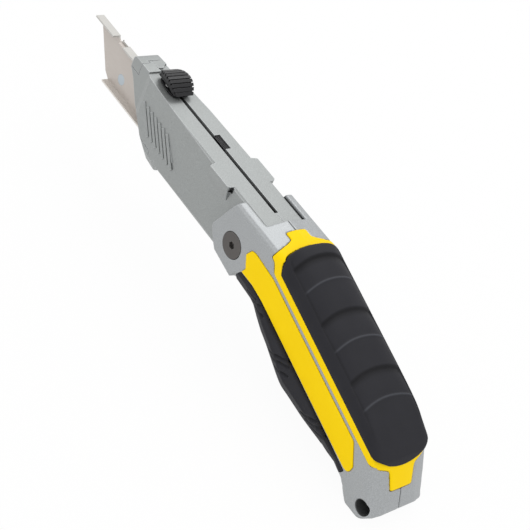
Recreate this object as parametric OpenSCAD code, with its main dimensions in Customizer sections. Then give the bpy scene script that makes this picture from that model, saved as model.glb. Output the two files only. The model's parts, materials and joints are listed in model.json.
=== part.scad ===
// Folding utility knife with a sliding blade carrier.
// Model space: +X towards the blade end, +Y to the left, +Z towards the back of the knife.
// The nose is drawn with its tail end at x = 0 and its flat top at z = 0; place() then
// moves everything so that the origin is the bottom centre of the whole knife.

/* [Nose] */
// Length of the nose from its tail end to its front edge
nose_l = 95; // [90:1:104]
// Half width of the nose over its tail and middle
nose_hw = 8.7; // [8.2:0.1:9.4]
// Half width of the nose at its front edge
nose_tip_hw = 4.8; // [4.4:0.1:5.6]
// Thickness of the nose above the blade carrier
roof_t = 4.6; // [4.4:0.1:5.6]
// Thickness of the nose below the blade carrier
floor_t = 2.3; // [2:0.1:3.4]
// Depth of the finger guard below the nose
guard_drop = 2.6; // [1.6:0.2:3.6]
// Radius of the lower long edges of the nose
belly_r = 5.6; // [3:0.2:6]
// How far the two shoulder bumps stand out at the top edges
bump_out = 2.1; // [1:0.1:2.6]
// Number of grip ribs on each side of the nose
rib_count = 10; // [6:1:11]
// Width of each grip rib
rib_w = 1; // [0.6:0.1:1.2]
// Height of each grip rib above the side of the nose
rib_h = 0.7; // [0.4:0.1:1]

/* [Blade carrier] */
// Height of the carrier, over both flanges
carrier_h = 20.3; // [19.8:0.1:21.5]
// Sheet thickness of the carrier
sheet_t = 0.7; // [0.5:0.1:0.9]
// Depth of the channel that holds the blade
channel_d = 2.8; // [2:0.1:3]
// How far the carrier reaches out of the nose when it is run out
carrier_out = 31.7; // [26:0.5:34]
// How far the front edge leans back from the top to the bottom
carrier_rake = 15.4; // [10:0.2:16]
// Radius of the round magnet
magnet_r = 2.2; // [1.6:0.1:3]
// Travel of the carrier from run out to drawn in
slide_travel = 57; // [50:1:58]

/* [Slider] */
// Radius of the thumb knob's wheel
knob_r = 9.1; // [8.8:0.1:9.4]
// Half width of the thumb knob at its widest place
knob_hw = 5; // [4.6:0.1:5.6]
// Height of the thumb knob above the nose
knob_h = 5.9; // [5.6:0.1:6.6]
// Number of ribs on the thumb knob
knob_ribs = 9; // [6:1:11]
// Travel of the knob when it is pressed
press_travel = 1.2; // [0.8:0.1:1.3]
// Half width of the slot that the knob runs in
slot_hw = 0.6; // [0.55:0.05:0.9]

/* [Handle] */
// Thickness of each cheek and side wall
wall_t = 4; // [3.4:0.1:4.6]
// Gap between the nose and each wall
side_gap = 0.3; // [0.25:0.05:0.6]
// Angle by which the handle bends down from the nose
bend = 16.5; // [13:0.5:20]
// Length of the handle along its own back
handle_l = 90.5; // [84:0.5:98]
// Depth of the handle at its palm swell
swell_d = 28.5; // [27:0.5:31]
// Thickness of the spine above the folding channel
spine_t = 3.4; // [3:0.1:4]
// Rise of the soft back pad above the ring
crown_h = 6.4; // [5:0.2:8]
// Height of the yellow ring on the side
ring_h = 2.9; // [2.4:0.1:3.8]
// Height of the yellow side strip
strip_h = 10.4; // [8:0.2:10.8]
// Thickness of the soft grip on the belly
grip_t = 1.9; // [1.4:0.1:2.2]
// Radius of the lanyard hole
lanyard_r = 2.9; // [2:0.1:3.3]

/* [Pivot] */
// Distance of the pivot from the tail end of the nose
pivot_x = 6.6; // [6.2:0.1:7.4]
// Depth of the pivot below the flat top of the nose
pivot_z = 13.9; // [13.2:0.1:14.4]
// Radius of the pivot screw's head
pivot_head_r = 4.85; // [4.4:0.05:5.4]
// Radius of the sleeve that the nose turns on
sleeve_r = 4; // [3.4:0.1:4.2]
// Radius of the pivot screw's thread
pivot_thread_r = 2; // [1.6:0.1:2.4]

/* [Small screws] */
// Radius of the screws that join the shells
screw_r = 0.9; // [0.7:0.05:1]
// Radius of their heads
screw_head_r = 1.4; // [1.2:0.05:1.45]

/* [Hidden] */
$fn = 48;
run_fit = 0.05;      // radial clearance of the turning fit
seam = 0.05;         // half the seam between two shells
slip = 0.25;         // clearance round pieces that slide
inlay = 0.9;         // depth of the inlaid side strips
proud = 0.2;         // how far soft pieces stand out of the metal
eps = 0.01;

nose_h = roof_t + carrier_h + floor_t;
handle_hw = nose_hw + side_gap + wall_t;
channel_hw = nose_hw + side_gap;
hinge_x = -11;       // where the handle's straight back starts
block_l = 11.4;      // length of the raised block at the nose's front
block_rise = 0.7;
hook_l = 5.8;        // how far the upper hook reaches back from the front
tail_r = nose_h - pivot_z;   // the tail's lower corner clears the handle's spine
carrier_z = -roof_t;
carrier_low = -roof_t - carrier_h;
carrier_front = nose_l + carrier_out;
web_y = -0.4;        // the face that the blade lies on
flange_y = web_y + channel_d;
knob_x = nose_l - block_l - 8.9;
tab_x0 = knob_x - 1.6;
tab_x1 = knob_x + 1.6;
pawl_x0 = tab_x1 + 0.3;
pawl_x1 = tab_x1 + 1.5;
spring_y = knob_hw - 2.4;    // distance of each spring from the middle of the knob
spring_r = 1.05;
skim = 0.15;         // how far the slider's base runs above the nose
base_floor = 0.6;
knob_z = press_travel + 0.2;                 // underside of the knob above the nose
knob_room = base_floor + press_travel + 0.2; // roof of the hollow under the knob
pawl_top = knob_room + 0.6;
wheel_z = knob_h - knob_r;                   // height of the wheel's middle
knob_reach = sqrt(pow(knob_r, 2) - pow(knob_z - wheel_z, 2));
knob_wide = 2.4;                             // the knob is widest this far behind its middle
carrier_rear = tab_x0;
bump_x0 = 20.4;      // the shoulder bumps' two ends
bump_x1 = 33.2;
slot_x0 = 5.4;
window_x0 = 39.2;    // window beside the slot, with a dark insert in it
window_x1 = 46.9;
window_w = 3.3;
window_d = 1.7;
slot_x1 = knob_x + 6;
guard_x = nose_l - 27;
nose_screw_x = guard_x - 4;
nose_screw_seat = nose_hw - 3.2;
ring_top = -2.2;      // where the pad meets the ring on the side
spine_top = -2.6;
spine_low = spine_top - spine_t;
spine_mid = spine_top - spine_t/2;
ring_low = -ring_top + ring_h;
roof_fall = 43.5;    // slope of the back of the butt
rear_floor = -6.6;    // floor of the ring's seat in the butt
band_t = 1.6;        // thickness of the ring's side bands
band_in = handle_hw - band_t;

function H(u, v) = [hinge_x - u*cos(bend) - v*sin(bend), -u*sin(bend) + v*cos(bend)];
butt_low = H(handle_l - 8, -(swell_d - 4.2))[1];
butt_back = H(handle_l, -16)[0];
mid_x = (carrier_front + butt_back)/2;
lift = -butt_low;

// ---------- shape helpers ----------
function arc(c, r, a0, a1, n) = [for (i = [0:n]) let(a = a0 + (a1 - a0)*i/n) c + r*[cos(a), sin(a)]];

// Points of the round corner of radius r at b, between a and c.
function corner(a, b, c, r, n) =
    let(u = (a - b)/norm(a - b), w = (c - b)/norm(c - b), h = acos(u*w)/2,
        o = b + (u + w)/norm(u + w)*r/sin(h), p = b + u*r/tan(h) - o, q = b + w*r/tan(h) - o,
        a0 = atan2(p[1], p[0]), d = atan2(q[1], q[0]) - a0,
        t = d > 180 ? d - 360 : d < -180 ? d + 360 : d)
    arc(o, r, a0, a0 + t, n);

// Outline through points [x, y, r], where r is the radius of that corner.
function rounded(P, n = 5) = let(m = len(P)) [for (i = [0:m - 1])
    let(a = P[(i + m - 1)%m], b = P[i], c = P[(i + 1)%m])
    each (b[2] > 0 ? corner([a[0], a[1]], [b[0], b[1]], [c[0], c[1]], b[2], n) : [[b[0], b[1]]])];

function Hr(u, v, r) = [H(u, v)[0], H(u, v)[1], r];

module place() { translate([-mid_x, 0, lift]) children(); }

// A side view outline, made solid between two values of y.
module slab(y0, y1) { translate([0, y1, 0]) rotate([90, 0, 0]) linear_extrude(height = y1 - y0) children(); }

// A cross-section (y, z), made solid between two values of x.
module bar(x0, x1) { translate([x0, 0, 0]) rotate([90, 0, 90]) linear_extrude(height = x1 - x0) children(); }

module box(x0, x1, y0, y1, z0, z1) { translate([x0, y0, z0]) cube([x1 - x0, y1 - y0, z1 - z0]); }

// A round bar along Y.
module rod(x, z, r, y0, y1) { translate([x, y1, z]) rotate([90, 0, 0]) cylinder(r = r, h = y1 - y0); }

module mirrored(on) { if (on) mirror([0, 1, 0]) children(); else children(); }

// Space of the handle: x runs forwards along the handle's back, z out of it.
module in_handle() { translate([hinge_x, 0, 0]) rotate([0, -bend, 0]) children(); }

// ---------- nose ----------
module nose_outline() {
    polygon(rounded([
        [0, 0, 0], [nose_l - block_l, 0, 0], [nose_l - block_l, block_rise, 0.4],
        [nose_l, block_rise - 0.4, 2], [nose_l, carrier_z - 0.4, 1.2], [nose_l - 3.6, -8, 2],
        [nose_l - 15.8, carrier_low + 2.1, 3], [nose_l - 20, -nose_h - 0.4, 2.5],
        [guard_x + 2, -nose_h - guard_drop, 4], [guard_x - 5, -nose_h - guard_drop, 1.6],
        [guard_x - 8, -nose_h, 2],
        for (p = arc([pivot_x, -pivot_z], tail_r, 270, 180 + acos(pivot_x/tail_r), 10)) [p[0], p[1], 0]]));
}

// Side view below the middle of the nose, squeezed for a bevel at angle a; open at the top.
module nose_bevel(a, c) {
    lean = atan(2.4/23.6);
    translate([nose_l - 35, nose_hw - 0.9, 0]) rotate([0, 0, -lean]) translate([-nose_l + 35, 0, 0])
        rotate([a, 0, 0]) translate([0, 40, c*sin(a)]) rotate([90, 0, 0]) linear_extrude(height = 100)
            polygon([[nose_l - 36, 90], [nose_l + 20, 90],
                for (p = [[nose_l + 20, -4], [nose_l + 5, -8.5], [nose_l - 6, -17], [nose_l - 14.6, carrier_low + 1.5],
                    [nose_l - 19.6, -nose_h - 0.4], [guard_x + 2.3, -nose_h - guard_drop],
                    [guard_x - 4, -nose_h - guard_drop], [guard_x - 7.4, -nose_h], [nose_l - 36, -nose_h]])
                    [p[0], p[1]*cos(a)]]);
}

module for_both_bevels(a, c) {
    intersection() {
        nose_bevel(a, c);
        mirror([0, 1, 0]) nose_bevel(a, c);
    }
}

module nose_plan() {
    half = [[0, nose_hw], [nose_l - 60, nose_hw], [nose_l - 35, nose_hw - 0.9],
            [nose_l - 14, nose_tip_hw + 1.5], [nose_l - block_l, nose_tip_hw + 0.6], [nose_l, nose_tip_hw]];
    polygon(concat(half, [for (i = [len(half) - 1:-1:0]) [half[i][0], -half[i][1]]]));
}

// Cross-section of the nose down to z = -d.
module nose_section(d, r) {
    polygon(rounded([[nose_hw - 0.9, block_rise + 1, 0], [nose_hw - 0.9, 0, 0], [nose_hw + 0.5, -0.8, 0],
        [nose_hw + 0.5, -d, r], [-nose_hw - 0.5, -d, r], [-nose_hw - 0.5, -0.8, 0],
        [-nose_hw + 0.9, 0, 0], [-nose_hw + 0.9, block_rise + 1, 0]], 8));
}

module bump() {
    out = nose_hw + bump_out;
    hull() {
        translate([0, 0, -1.6]) linear_extrude(height = 1.6) polygon(rounded([[bump_x0, nose_hw - 1, 0],
            [bump_x1, nose_hw - 1, 0], [bump_x1 - 0.8, out, 0.6], [bump_x0 + 0.2, out, 1.2]]));
        box(bump_x0 + 0.6, bump_x1 - 0.6, nose_hw - 1, nose_hw - 0.1, -7.5, 0);
    }
}

module nose_body() {
    intersection() {
        slab(-nose_hw - 1, nose_hw + 1) nose_outline();
        translate([0, 0, -nose_h - 10]) linear_extrude(height = nose_h + 20) nose_plan();
        union() {
            bar(-1, guard_x - 6) nose_section(nose_h, belly_r);
            intersection() {
                box(guard_x - 6, nose_l + 1, -20, 20, -60, 20);
                bar(guard_x - 7, nose_l + 2) nose_section(nose_h + guard_drop, 1);
                for_both_bevels(30, 1.2);
                for_both_bevels(60, 2.4);
            }
        }
    }
    for (s = [0, 1]) mirrored(s == 1) {
        bump();
        rib_panel();
    }
}

// The hollow that the carrier and its detent run in.
module nose_hollow() {
    box(pivot_x + sleeve_r + 1.2, nose_l + 5, web_y - sheet_t - slip, flange_y + slip,
        carrier_low - slip, carrier_z + slip);
    box(pivot_x + sleeve_r + 1.2, slot_x1 + 1, web_y - sheet_t - slip, flange_y + slip,
        carrier_z - 1, -1.6);
    box(slot_x0, slot_x1, -slot_hw, slot_hw, -5, 5);
    box(window_x0, window_x1, -window_w, slot_hw, -window_d, 5);
}

// The two hooks of the right shell that lap over the left one at the front.
module hooks(gap) {
    box(nose_l - hook_l + 1.3 - gap, nose_l + 2, -10, 10, carrier_z - gap, 5);
    box(nose_l - hook_l - gap, nose_l + 2, 1.7 - gap, 10, carrier_z - gap, 5);
    box(guard_x - 1 - gap, nose_l - 19.6 + gap, -10, 10, -nose_h - 5, carrier_low + 1.6 + gap);
}

// Slanted grip ribs, set on the tapered side of the nose.
module rib_panel() {
    pitch = 17.8/(rib_count - 1);
    intersection() {
        translate([nose_l - 14, nose_tip_hw + 1.5, 0]) rotate([0, 0, -atan((nose_hw - nose_tip_hw - 2.4)/21)])
            slab(-1.2, rib_h) for (i = [0:rib_count - 1]) let(x = -2.6 - i*pitch, z = -20 + 3.6*i/rib_count)
                polygon(rounded([[x, -9.6, 0.3], [x + rib_w, -9.6, 0.3], [x + rib_w - 9, z, 0.3], [x - 9, z, 0.3]], 2));
        slab(nose_tip_hw, nose_hw + 0.15) polygon([[0, 0], [nose_l, 0], [nose_l, -30], [0, -30]]);
    }
}

module nose_pivot_bore() { rod(pivot_x, -pivot_z, sleeve_r + run_fit, -20, 20); }

module nose_left_shell() {
    color("silver") place() {
        difference() {
            nose_body();
            box(-5, nose_l + 5, -20, seam, -60, 20);
            hooks(0.2);
            nose_hollow();
            nose_pivot_bore();
            rod(nose_screw_x, carrier_low - 2.4, screw_r, -1, 4);
            translate([bump_x0 - 0.8, nose_hw - 0.6, -2.6]) rotate([0, 0, -4]) cube([1.6, 2, 2.2]);
        }
    }
}

module nose_right_shell() {
    color("silver") place() {
        difference() {
            union() {
                difference() {
                    nose_body();
                    box(-5, nose_l + 5, -seam, 20, -60, 20);
                }
                intersection() { nose_body(); hooks(0); }
            }
            nose_hollow();
            nose_pivot_bore();
            linear_extrude(height = 5) polygon([[nose_l - block_l - 1, 1], [nose_l - block_l + 2.1, 1],
                [nose_l - block_l + 2.1, -2.4], [nose_l - block_l + 4.2, -4.4], [nose_l - block_l + 4.2, -9],
                [nose_l - block_l - 1, -9]]);
            box(nose_l - hook_l + 1.15, nose_l - hook_l + 1.4, -3.7, 2, 0.15, 5);
            rod(nose_screw_x, carrier_low - 2.4, screw_r + 0.15, -20, 1);
            rod(nose_screw_x, carrier_low - 2.4, screw_head_r + 0.1, -20, -nose_screw_seat);
        }
    }
}

module nose_screw() {
    color("dimgray") place() {
        rod(nose_screw_x, carrier_low - 2.4, screw_r, -nose_screw_seat - 0.5, 3.8);
        rod(nose_screw_x, carrier_low - 2.4, screw_head_r, -nose_screw_seat - 1.1, -nose_screw_seat);
    }
}

// Grooved plastic insert that lies in the window beside the slot.
module window_insert() {
    color("black") place() difference() {
        box(window_x0 + run_fit, window_x1 - run_fit, -window_w + run_fit, -slot_hw - 0.1, -window_d, -0.4);
        for (i = [1:3]) box(window_x0 - 1, window_x1 + 1, -window_w + i*0.7 - 0.15, -window_w + i*0.7 + 0.15, -0.8, 1);
    }
}

// ---------- carriage ----------
module blade_carrier() {
    nub_x = carrier_front - 18.6;
    color("tan") place() difference() {
        union() {
            slab(web_y - sheet_t, web_y) polygon(rounded([
                [carrier_rear, carrier_z, 0], [carrier_front, carrier_z, 0],
                [carrier_front - 0.8*carrier_rake, carrier_low + 2.6, 0],
                [carrier_front - carrier_rake - 1, carrier_low, 2], [carrier_rear, carrier_low, 2]], 4));
            box(nub_x + 5.1, carrier_front, web_y - sheet_t, flange_y, carrier_z - sheet_t, carrier_z);
            box(slot_x1, nub_x - 2.4, web_y - sheet_t, flange_y, carrier_z - sheet_t, carrier_z);
            box(nub_x - 2.1, nub_x + 2.1, web_y - sheet_t, flange_y - 1,
                carrier_z - sheet_t - 1, carrier_z - 1);
            box(carrier_rear, carrier_front - carrier_rake, web_y - sheet_t, flange_y,
                carrier_low, carrier_low + sheet_t);
            box(tab_x0, tab_x1, web_y - sheet_t, 0.4, carrier_z - sheet_t, carrier_z);
            box(tab_x0, tab_x1, -0.4, 0.4, carrier_z - sheet_t, knob_z + 0.6);
        }
        rod(nub_x + 3.6, carrier_z, 1.5, web_y - 1, web_y + 0.01);
        rod(carrier_front - 23, carrier_low + 6.1, magnet_r + run_fit, web_y - 2, web_y + 1);
        box(nub_x - 2.1, nub_x + 2.1, -3, web_y - eps, carrier_z - 1, carrier_z + 1);
    }
}

module carrier_magnet() {
    color("lightsteelblue") place()
        rod(carrier_front - 23, carrier_low + 6.1, magnet_r, web_y - sheet_t, web_y);
}

module slider_base() {
    color("black") place() difference() {
        translate([0, 0, skim]) linear_extrude(height = base_floor - skim) knob_plan(1.1, 2.6);
        box(tab_x0 - 0.1, pawl_x1 + 0.1, -0.5, 0.5, -1, 1);
    }
}

// Barrel-shaped plan of the knob, widest a little behind its middle: g inside its sides and
// e inside its ends.
module knob_plan(g, e) {
    steps = 14;
    half = [for (i = [0:steps]) let(x = (knob_reach - e)*(2*i/steps - 1), d = x + knob_wide)
        [knob_x + x, knob_hw - g - (d > 0 ? 0.026 : 0.048)*d*d]];
    polygon(concat(half, [for (i = [steps:-1:0]) [half[i][0], -half[i][1]]]));
}

module slider_knob() {
    color("black") place() difference() {
        intersection() {
            translate([knob_x, 0, wheel_z]) slab(-knob_hw - 1, knob_hw + 1) polygon(knob_outline());
            translate([0, 0, knob_z]) linear_extrude(height = knob_h) knob_plan(0, 0);
        }
        linear_extrude(height = knob_room) knob_plan(0.9, 2.4);
        box(tab_x0 - 0.15, tab_x1 + 0.15, -0.55, 0.55, 0, knob_z + press_travel + 1.2);
        box(pawl_x0, pawl_x1, -0.25, 0.4, 0, pawl_top);
        for (s = [-1, 1]) translate([knob_x, s*spring_y, 0]) cylinder(r = spring_r + 0.2, h = base_floor + 3);
    }
}

// Sector of a wheel with ribs over its crown and its rear side.
function knob_outline() = let(step = 97/knob_ribs) [
    each arc([0, 0], knob_r - 0.5, 10, 47, 6),
    for (i = [0:knob_ribs - 1]) let(a = 51 + i*step)
        each [for (k = [0:3]) (knob_r - (k == 0 || k == 3 ? 0.7 : 0))*[cos(a + k*step/4), sin(a + k*step/4)]],
    each arc([0, 0], knob_r - 0.5, 152, 170, 3),
    [0, 0]];

module knob_springs() {
    color("silver") place() for (s = [-1, 1]) translate([knob_x, s*spring_y, base_floor])
        coil(spring_r - 0.15, 0.3, 2.95, 4);
}

// A compression spring standing on z = 0, swept from hexagons along a helix.
module coil(r, wire, h, turns) {
    n = 10*turns;
    pts = [for (i = [0:n], k = [0:5]) let(a = 360*turns*i/n, b = 60*k,
        q = r + wire/2*cos(b)) [q*cos(a), q*sin(a), wire/2 + (h - wire)*i/n + wire/2*sin(b)]];
    faces = concat([[for (k = [0:5]) k]],
        [for (i = [0:n - 1], k = [0:5]) let(a = 6*i + k, b = 6*i + (k + 1)%6) each [[a, a + 6, b], [b, a + 6, b + 6]]],
        [[for (k = [5:-1:0]) 6*n + k]]);
    polyhedron(pts, faces);
}

module detent_strip() {
    color("silver") place() difference() {
        box(pivot_x + sleeve_r + 1.6, slot_x1, slot_hw + 0.3, flange_y, -2.7, -1.6 - eps);
        for (t = [0, 22, 32, slide_travel]) box(pawl_x0 - 0.3 - t, pawl_x1 + 0.3 - t, 0, 5, -3, -2.1);
    }
}

module detent_pawl() {
    color("gray") place() {
        box(pawl_x0, pawl_x1, -0.25, 0.4, -3.7, pawl_top);
        box(pawl_x0, pawl_x1, 0.4, flange_y - 0.2, -3.7, -3);
    }
}

// ---------- handle ----------
// Side outline of the handle: cheeks, spine, butt and belly.
handle_pts = rounded([
    [11.9, 3, 0], [12.3, 0.3, 0], [19, -15.1, 2.5], [16, -18.8, 2], [13.2, -21.9, 2],
    [1, -nose_h + 2.9, 6], Hr(6, -24, 10), Hr(22, -swell_d + 3, 14), Hr(36.5, -swell_d, 9),
    Hr(50, -swell_d + 2.4, 14), Hr(60, -swell_d + 6.2, 8), Hr(handle_l - 15.4, -swell_d + 8, 4),
    Hr(handle_l - 9.2, -swell_d + 4.2, 3), Hr(handle_l - 2, -swell_d + 6.4, 3), Hr(handle_l, -16, 1.5),
    Hr(handle_l - 5.2, -10.3, 2), Hr(handle_l - 13.2, ring_top - 0.6, 0), Hr(handle_l - 14, ring_top, 0), Hr(3, ring_top, 0),
    Hr(3, 3.2, 0), [hinge_x, 3, 0]]);

// A point of the side view in the handle's own space.
function own(p) = let(x = p[0] - hinge_x, z = p[1]) [x*cos(bend) + z*sin(bend), z*cos(bend) - x*sin(bend)];

// The bevels run out between these two places towards the butt.
function fade(x) = max(0, min(1, (-x - 67)/10));

// The lower part of the outline, open at the top and squeezed for a bevel at angle a.
function bevel_pts(a) = concat([[40, 120]],
    [[40, -90], [grip_start, -90]],
    [for (p = handle_pts) let(q = own(p)) if (q[1] < -12 && q[0] > grip_end && q[0] < grip_start)
        [q[0], q[1]*cos(a) - 2.6*fade(q[0])]],
    [[grip_end, -60], [-handle_l - 20, -60], [-handle_l - 20, 120]]);
grip_end = -handle_l + 15.6;
grip_start = 16;

// Leaves out what lies beyond a bevel of size c along the lower outer edge.
module bevel(a, c) {
    in_handle() translate([0, handle_hw, 0]) rotate([a, 0, 0]) translate([0, 40, c*sin(a)])
        rotate([90, 0, 0]) linear_extrude(height = 100) polygon(bevel_pts(a));
}

// The space that the nose folds into, seen from the side.
module channel_outline() {
    polygon([[-0.3, 10], [-0.3, -1.9], [-4, -3.3], H(0, spine_low), H(10, spine_low),
        H(handle_l - 14, spine_low), H(handle_l - 12, -40), [-20, -60], [40, -60], [40, 10]]);
}

// Plan of the ring with its two tabs, in the handle's own space.
module ring_plan() {
    w = handle_hw + 1;
    rear = -handle_l + 11;
    polygon(rounded([[5.9, -4.4, 0.8], [2.5, -4.4, 0.6], [1.2, -7, 6], [-1, -w, 1], [rear + 3.2, -w, 7],
        [rear, -5.9, 0.6], [rear - 20, -3.1, 0], [rear - 20, 3.1, 0], [rear, 5.9, 0.6], [rear + 3.2, w, 7],
        [-1, w, 1], [1.2, 7, 6], [2.5, 4.4, 0.6], [5.9, 4.4, 0.8]]));
}

module pad_plan(g) {
    w = handle_hw + g;
    rear = -handle_l + 12.3 - g;
    polygon(rounded([[-2.4 + g, -5.5, 9], [-6, -w, 3.5], [rear + 3, -w, 7], [rear, -4, 12],
        [rear, 4, 12], [rear + 3, w, 7], [-6, w, 3.5], [-2.4 + g, 5.5, 9]], 8));
}

// Everything above the metal that the ring and the pad take up.
module ring_zone() {
    in_handle() {
        translate([0, 0, spine_top]) linear_extrude(height = 20) intersection() {
            ring_plan();
            translate([-handle_l + 10.8, -20]) square([handle_l - 8, 40]);
        }
        translate([0, 0, rear_floor]) linear_extrude(height = 20) intersection() {
            ring_plan();
            translate([-handle_l + 10.8, -20]) square([2.5, 40]);
        }
        translate([0, 0, spine_top - 2]) linear_extrude(height = 20) intersection() {
            ring_plan();
            translate([-handle_l + 10.8, -20]) square([4, 40]);
        }
        translate([0, 0, spine_top - 2]) linear_extrude(height = 20) difference() {
            ring_plan();
            pad_plan(0);
            translate([-handle_l + 20, -20]) square([handle_l, 40]);
        }
        for (s = [0, 1]) mirrored(s == 1) slab(handle_hw - band_t, handle_hw + 3)
            polygon([[-1, 6], [-1, -1.1], [-5.4, -ring_low], [-handle_l + 13.4, -ring_low],
                [-handle_l + 11.9, -4.2], [-handle_l + 11.9, 6]]);
    }
    // front tab
    intersection() {
        slab(-5, 5) polygon([[0, 0.8], [0, 6], [-13, 6], [-13, 0.8]]);
        in_handle() translate([0, 0, -20]) linear_extrude(height = 40) ring_plan();
    }
    // rear tab on the slope of the butt
    in_handle() intersection() {
        slab(-6, 6) polygon([[-handle_l + 13.8, ring_top - 1.6], [-handle_l + 13.8, 6],
            [-handle_l - 3, 6], [-handle_l + 4.4, -9.7], [-handle_l + 6.2, -11.2]]);
        translate([0, 0, -20]) linear_extrude(height = 40) ring_plan();
    }
}

module pad_solid() {
    in_handle() difference() {
        intersection() {
            slab(-handle_hw - 1, handle_hw + 1) polygon(rounded([[-1.5, spine_top - 1, 0],
                [-2.2, 3, 1.5], [-6.2, crown_h - 0.8, 3], [-28, crown_h - 1.5, 20],
                [-48, crown_h - 2.4, 20], [-66, 1.9, 14], [-handle_l + 16.4, -0.4, 5],
                [-handle_l + 13, -3.2, 2], [-handle_l + 12, -6.5, 0]]));
            pad_room();
            bar(-handle_l, 0) polygon(rounded([[-handle_hw, spine_top - 3, 0], [-handle_hw, 1.4, 4],
                [-6, crown_h - 1.3, 8], [0, crown_h, 12], [6, crown_h - 1.3, 8], [handle_hw, 1.4, 4],
                [handle_hw, spine_top - 3, 0]]));
        }
        // the rim of the ring stays clear of it
        for (s = [0, 1]) mirrored(s == 1)
            slab(handle_hw - band_t - 0.05, handle_hw + 3) polygon([[5, -2.2], [-handle_l, -2.2], [-handle_l, -9], [5, -9]]);
    }
}

// The pad's plan, standing on the spine and, behind it, a little lower on the ring.
module pad_room() {
    translate([0, 0, spine_top]) linear_extrude(height = 20) pad_plan(0);
    translate([0, 0, spine_top - 2]) linear_extrude(height = 20) intersection() {
        pad_plan(0);
        translate([-handle_l, -20]) square([14.8, 40]);
    }
}

module ring_solid() {
    difference() {
        intersection() {
            union() {
                intersection() {
                    bar(-30, 0) roof_section(0.3);
                    in_handle() slab(-20, 20) polygon([[12, 20], [-5, 20], [-5, 0.6], [-8, ring_top], [-8, -20], [12, -20]]);
                }
                in_handle() slab(-handle_hw - 1, handle_hw + 1)
                    polygon([[0, -ring_low], [-4, ring_top + 0.05], [-handle_l + 13.2, ring_top + 0.05],
                        [-handle_l + 5.2, -10.3], [-handle_l + 5.2, -13], [-handle_l + 20, -13]]);
            }
            ring_zone();
            slab(-handle_hw - proud, handle_hw + proud) polygon([[0, 10], [-110, 10], [-110, -60], [0, -60]]);
            butt_roof(0.3);
            in_handle() translate([0, 0, -20]) linear_extrude(height = 40) ring_plan();
        }
        in_handle() {
            pad_room();
        }
        metal_volume();
    }
}

// Cross-section of the handle's back, raised by g.
module roof_section(g) {
    half = [[0, 2 + g], [handle_hw - 1.4, 0.4 + g], [handle_hw - 0.4, -0.3 + g], [handle_hw + g, -1.5],
        [handle_hw + g, -60]];
    polygon(concat(half, [for (i = [len(half) - 1:-1:1]) [-half[i][0], half[i][1]]]));
}

module strip_outline() {
    polygon(rounded([[-0.9, -10.9, 1], [-2.6, -7.6, 1.6], [-4.9, -7.2, 1],
        Hr(7, -6.6, 4), Hr(handle_l - 24, -6.4, 2), Hr(handle_l - 17.2, -12.4, 1), Hr(handle_l - 16.7, -15.6, 1.5),
        Hr(handle_l - 18.5, -6.6 - strip_h + 0.4, 1), Hr(10, -6.5 - strip_h, 8), Hr(3.4, -7.2 - strip_h, 1),
        [-2.3, -17.9, 0.2], [-3.4, -15.5, 0.6]]));
}

// Side view of the soft grip on the belly.
module grip_outline() {
    polygon([[0.4, -60], [0.4, -22.2], [-2.3, -18.15], H(3.4, -7.5 - strip_h), H(10, -6.8 - strip_h),
        H(handle_l - 18, -6.9 - strip_h), H(handle_l - 18.4, -21.2), H(handle_l - 18.4, -60)]);
}

// What the grip takes from the wall: a side plate and the wall's lower edge.
module grip_zone() {
    slab(handle_hw - grip_t, handle_hw + 5) grip_outline();
    slab(channel_hw - 1, handle_hw + 5) difference() {
        grip_outline();
        translate([H(0, grip_t)[0] - hinge_x, H(0, grip_t)[1]]) polygon(handle_pts);
    }
}

// One half of the whole handle, walls, spine and butt, before anything is cut for other pieces.
module handle_envelope() {
    intersection() {
        slab(0, handle_hw) polygon(handle_pts);
        translate([0, 0, -80]) linear_extrude(height = 100) polygon(rounded([
            [30, -1, 0], [30, handle_hw, 0], [butt_back, handle_hw, 1.9], [butt_back, -1, 0]]));
        bar(butt_back - 5, 30) roof_section(0);
        butt_roof(0);
        bevel(32, 2);
        bevel(62, 2.5);
    }
}

// The back of the butt slopes down and is lower at its sides.
module butt_roof(g) {
    half = [[0, g], [7, g - 0.4], [handle_hw - 2.9, g - 1.3], [handle_hw - 0.9, g - 1.9], [handle_hw, g - 2.9]];
    in_handle() translate([-handle_l + 13.2, 0, ring_top - 0.6]) rotate([0, -roof_fall, 0])
        bar(-100, 100) polygon(concat(half, [[handle_hw + 1, -200], [-handle_hw - 1, -200]],
            [for (i = [len(half) - 1:-1:1]) [-half[i][0], half[i][1]]]));
}

module metal_volume() {
    for (s = [0, 1]) mirrored(s == 1) difference() {
        handle_envelope();
        slab(-1, channel_hw) channel_outline();
        ring_zone();
    }
}

lanyard_at = H(handle_l - 5, -17.8);

module lanyard_bore() { rod(lanyard_at[0], lanyard_at[1], lanyard_r, -30, 30); }

screw_seat = handle_hw - 3.4;   // depth of the seats of the screws' heads, from the middle

screw_at = [H(handle_l - 9.5, -12.6), H(14, spine_mid), H(60, spine_mid)];

module handle_half() {
    difference() {
        handle_envelope();
        slab(-1, channel_hw) channel_outline();
        ring_zone();
        slab(handle_hw - inlay, handle_hw + 5) strip_outline();
        grip_zone();
        lanyard_bore();
    }
}

module handle_left_shell() {
    color("silver") place() difference() {
        handle_half();
        box(-120, 20, -1, seam, -80, 10);
        rod(pivot_x, -pivot_z, pivot_thread_r + 0.1, 0, 20);
        rod(pivot_x, -pivot_z, pivot_head_r + 0.1, handle_hw - 1.8, 20);
        for (p = screw_at) rod(p[0], p[1], screw_r + 0.05, -1, channel_hw - 2.2);
    }
}

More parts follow.
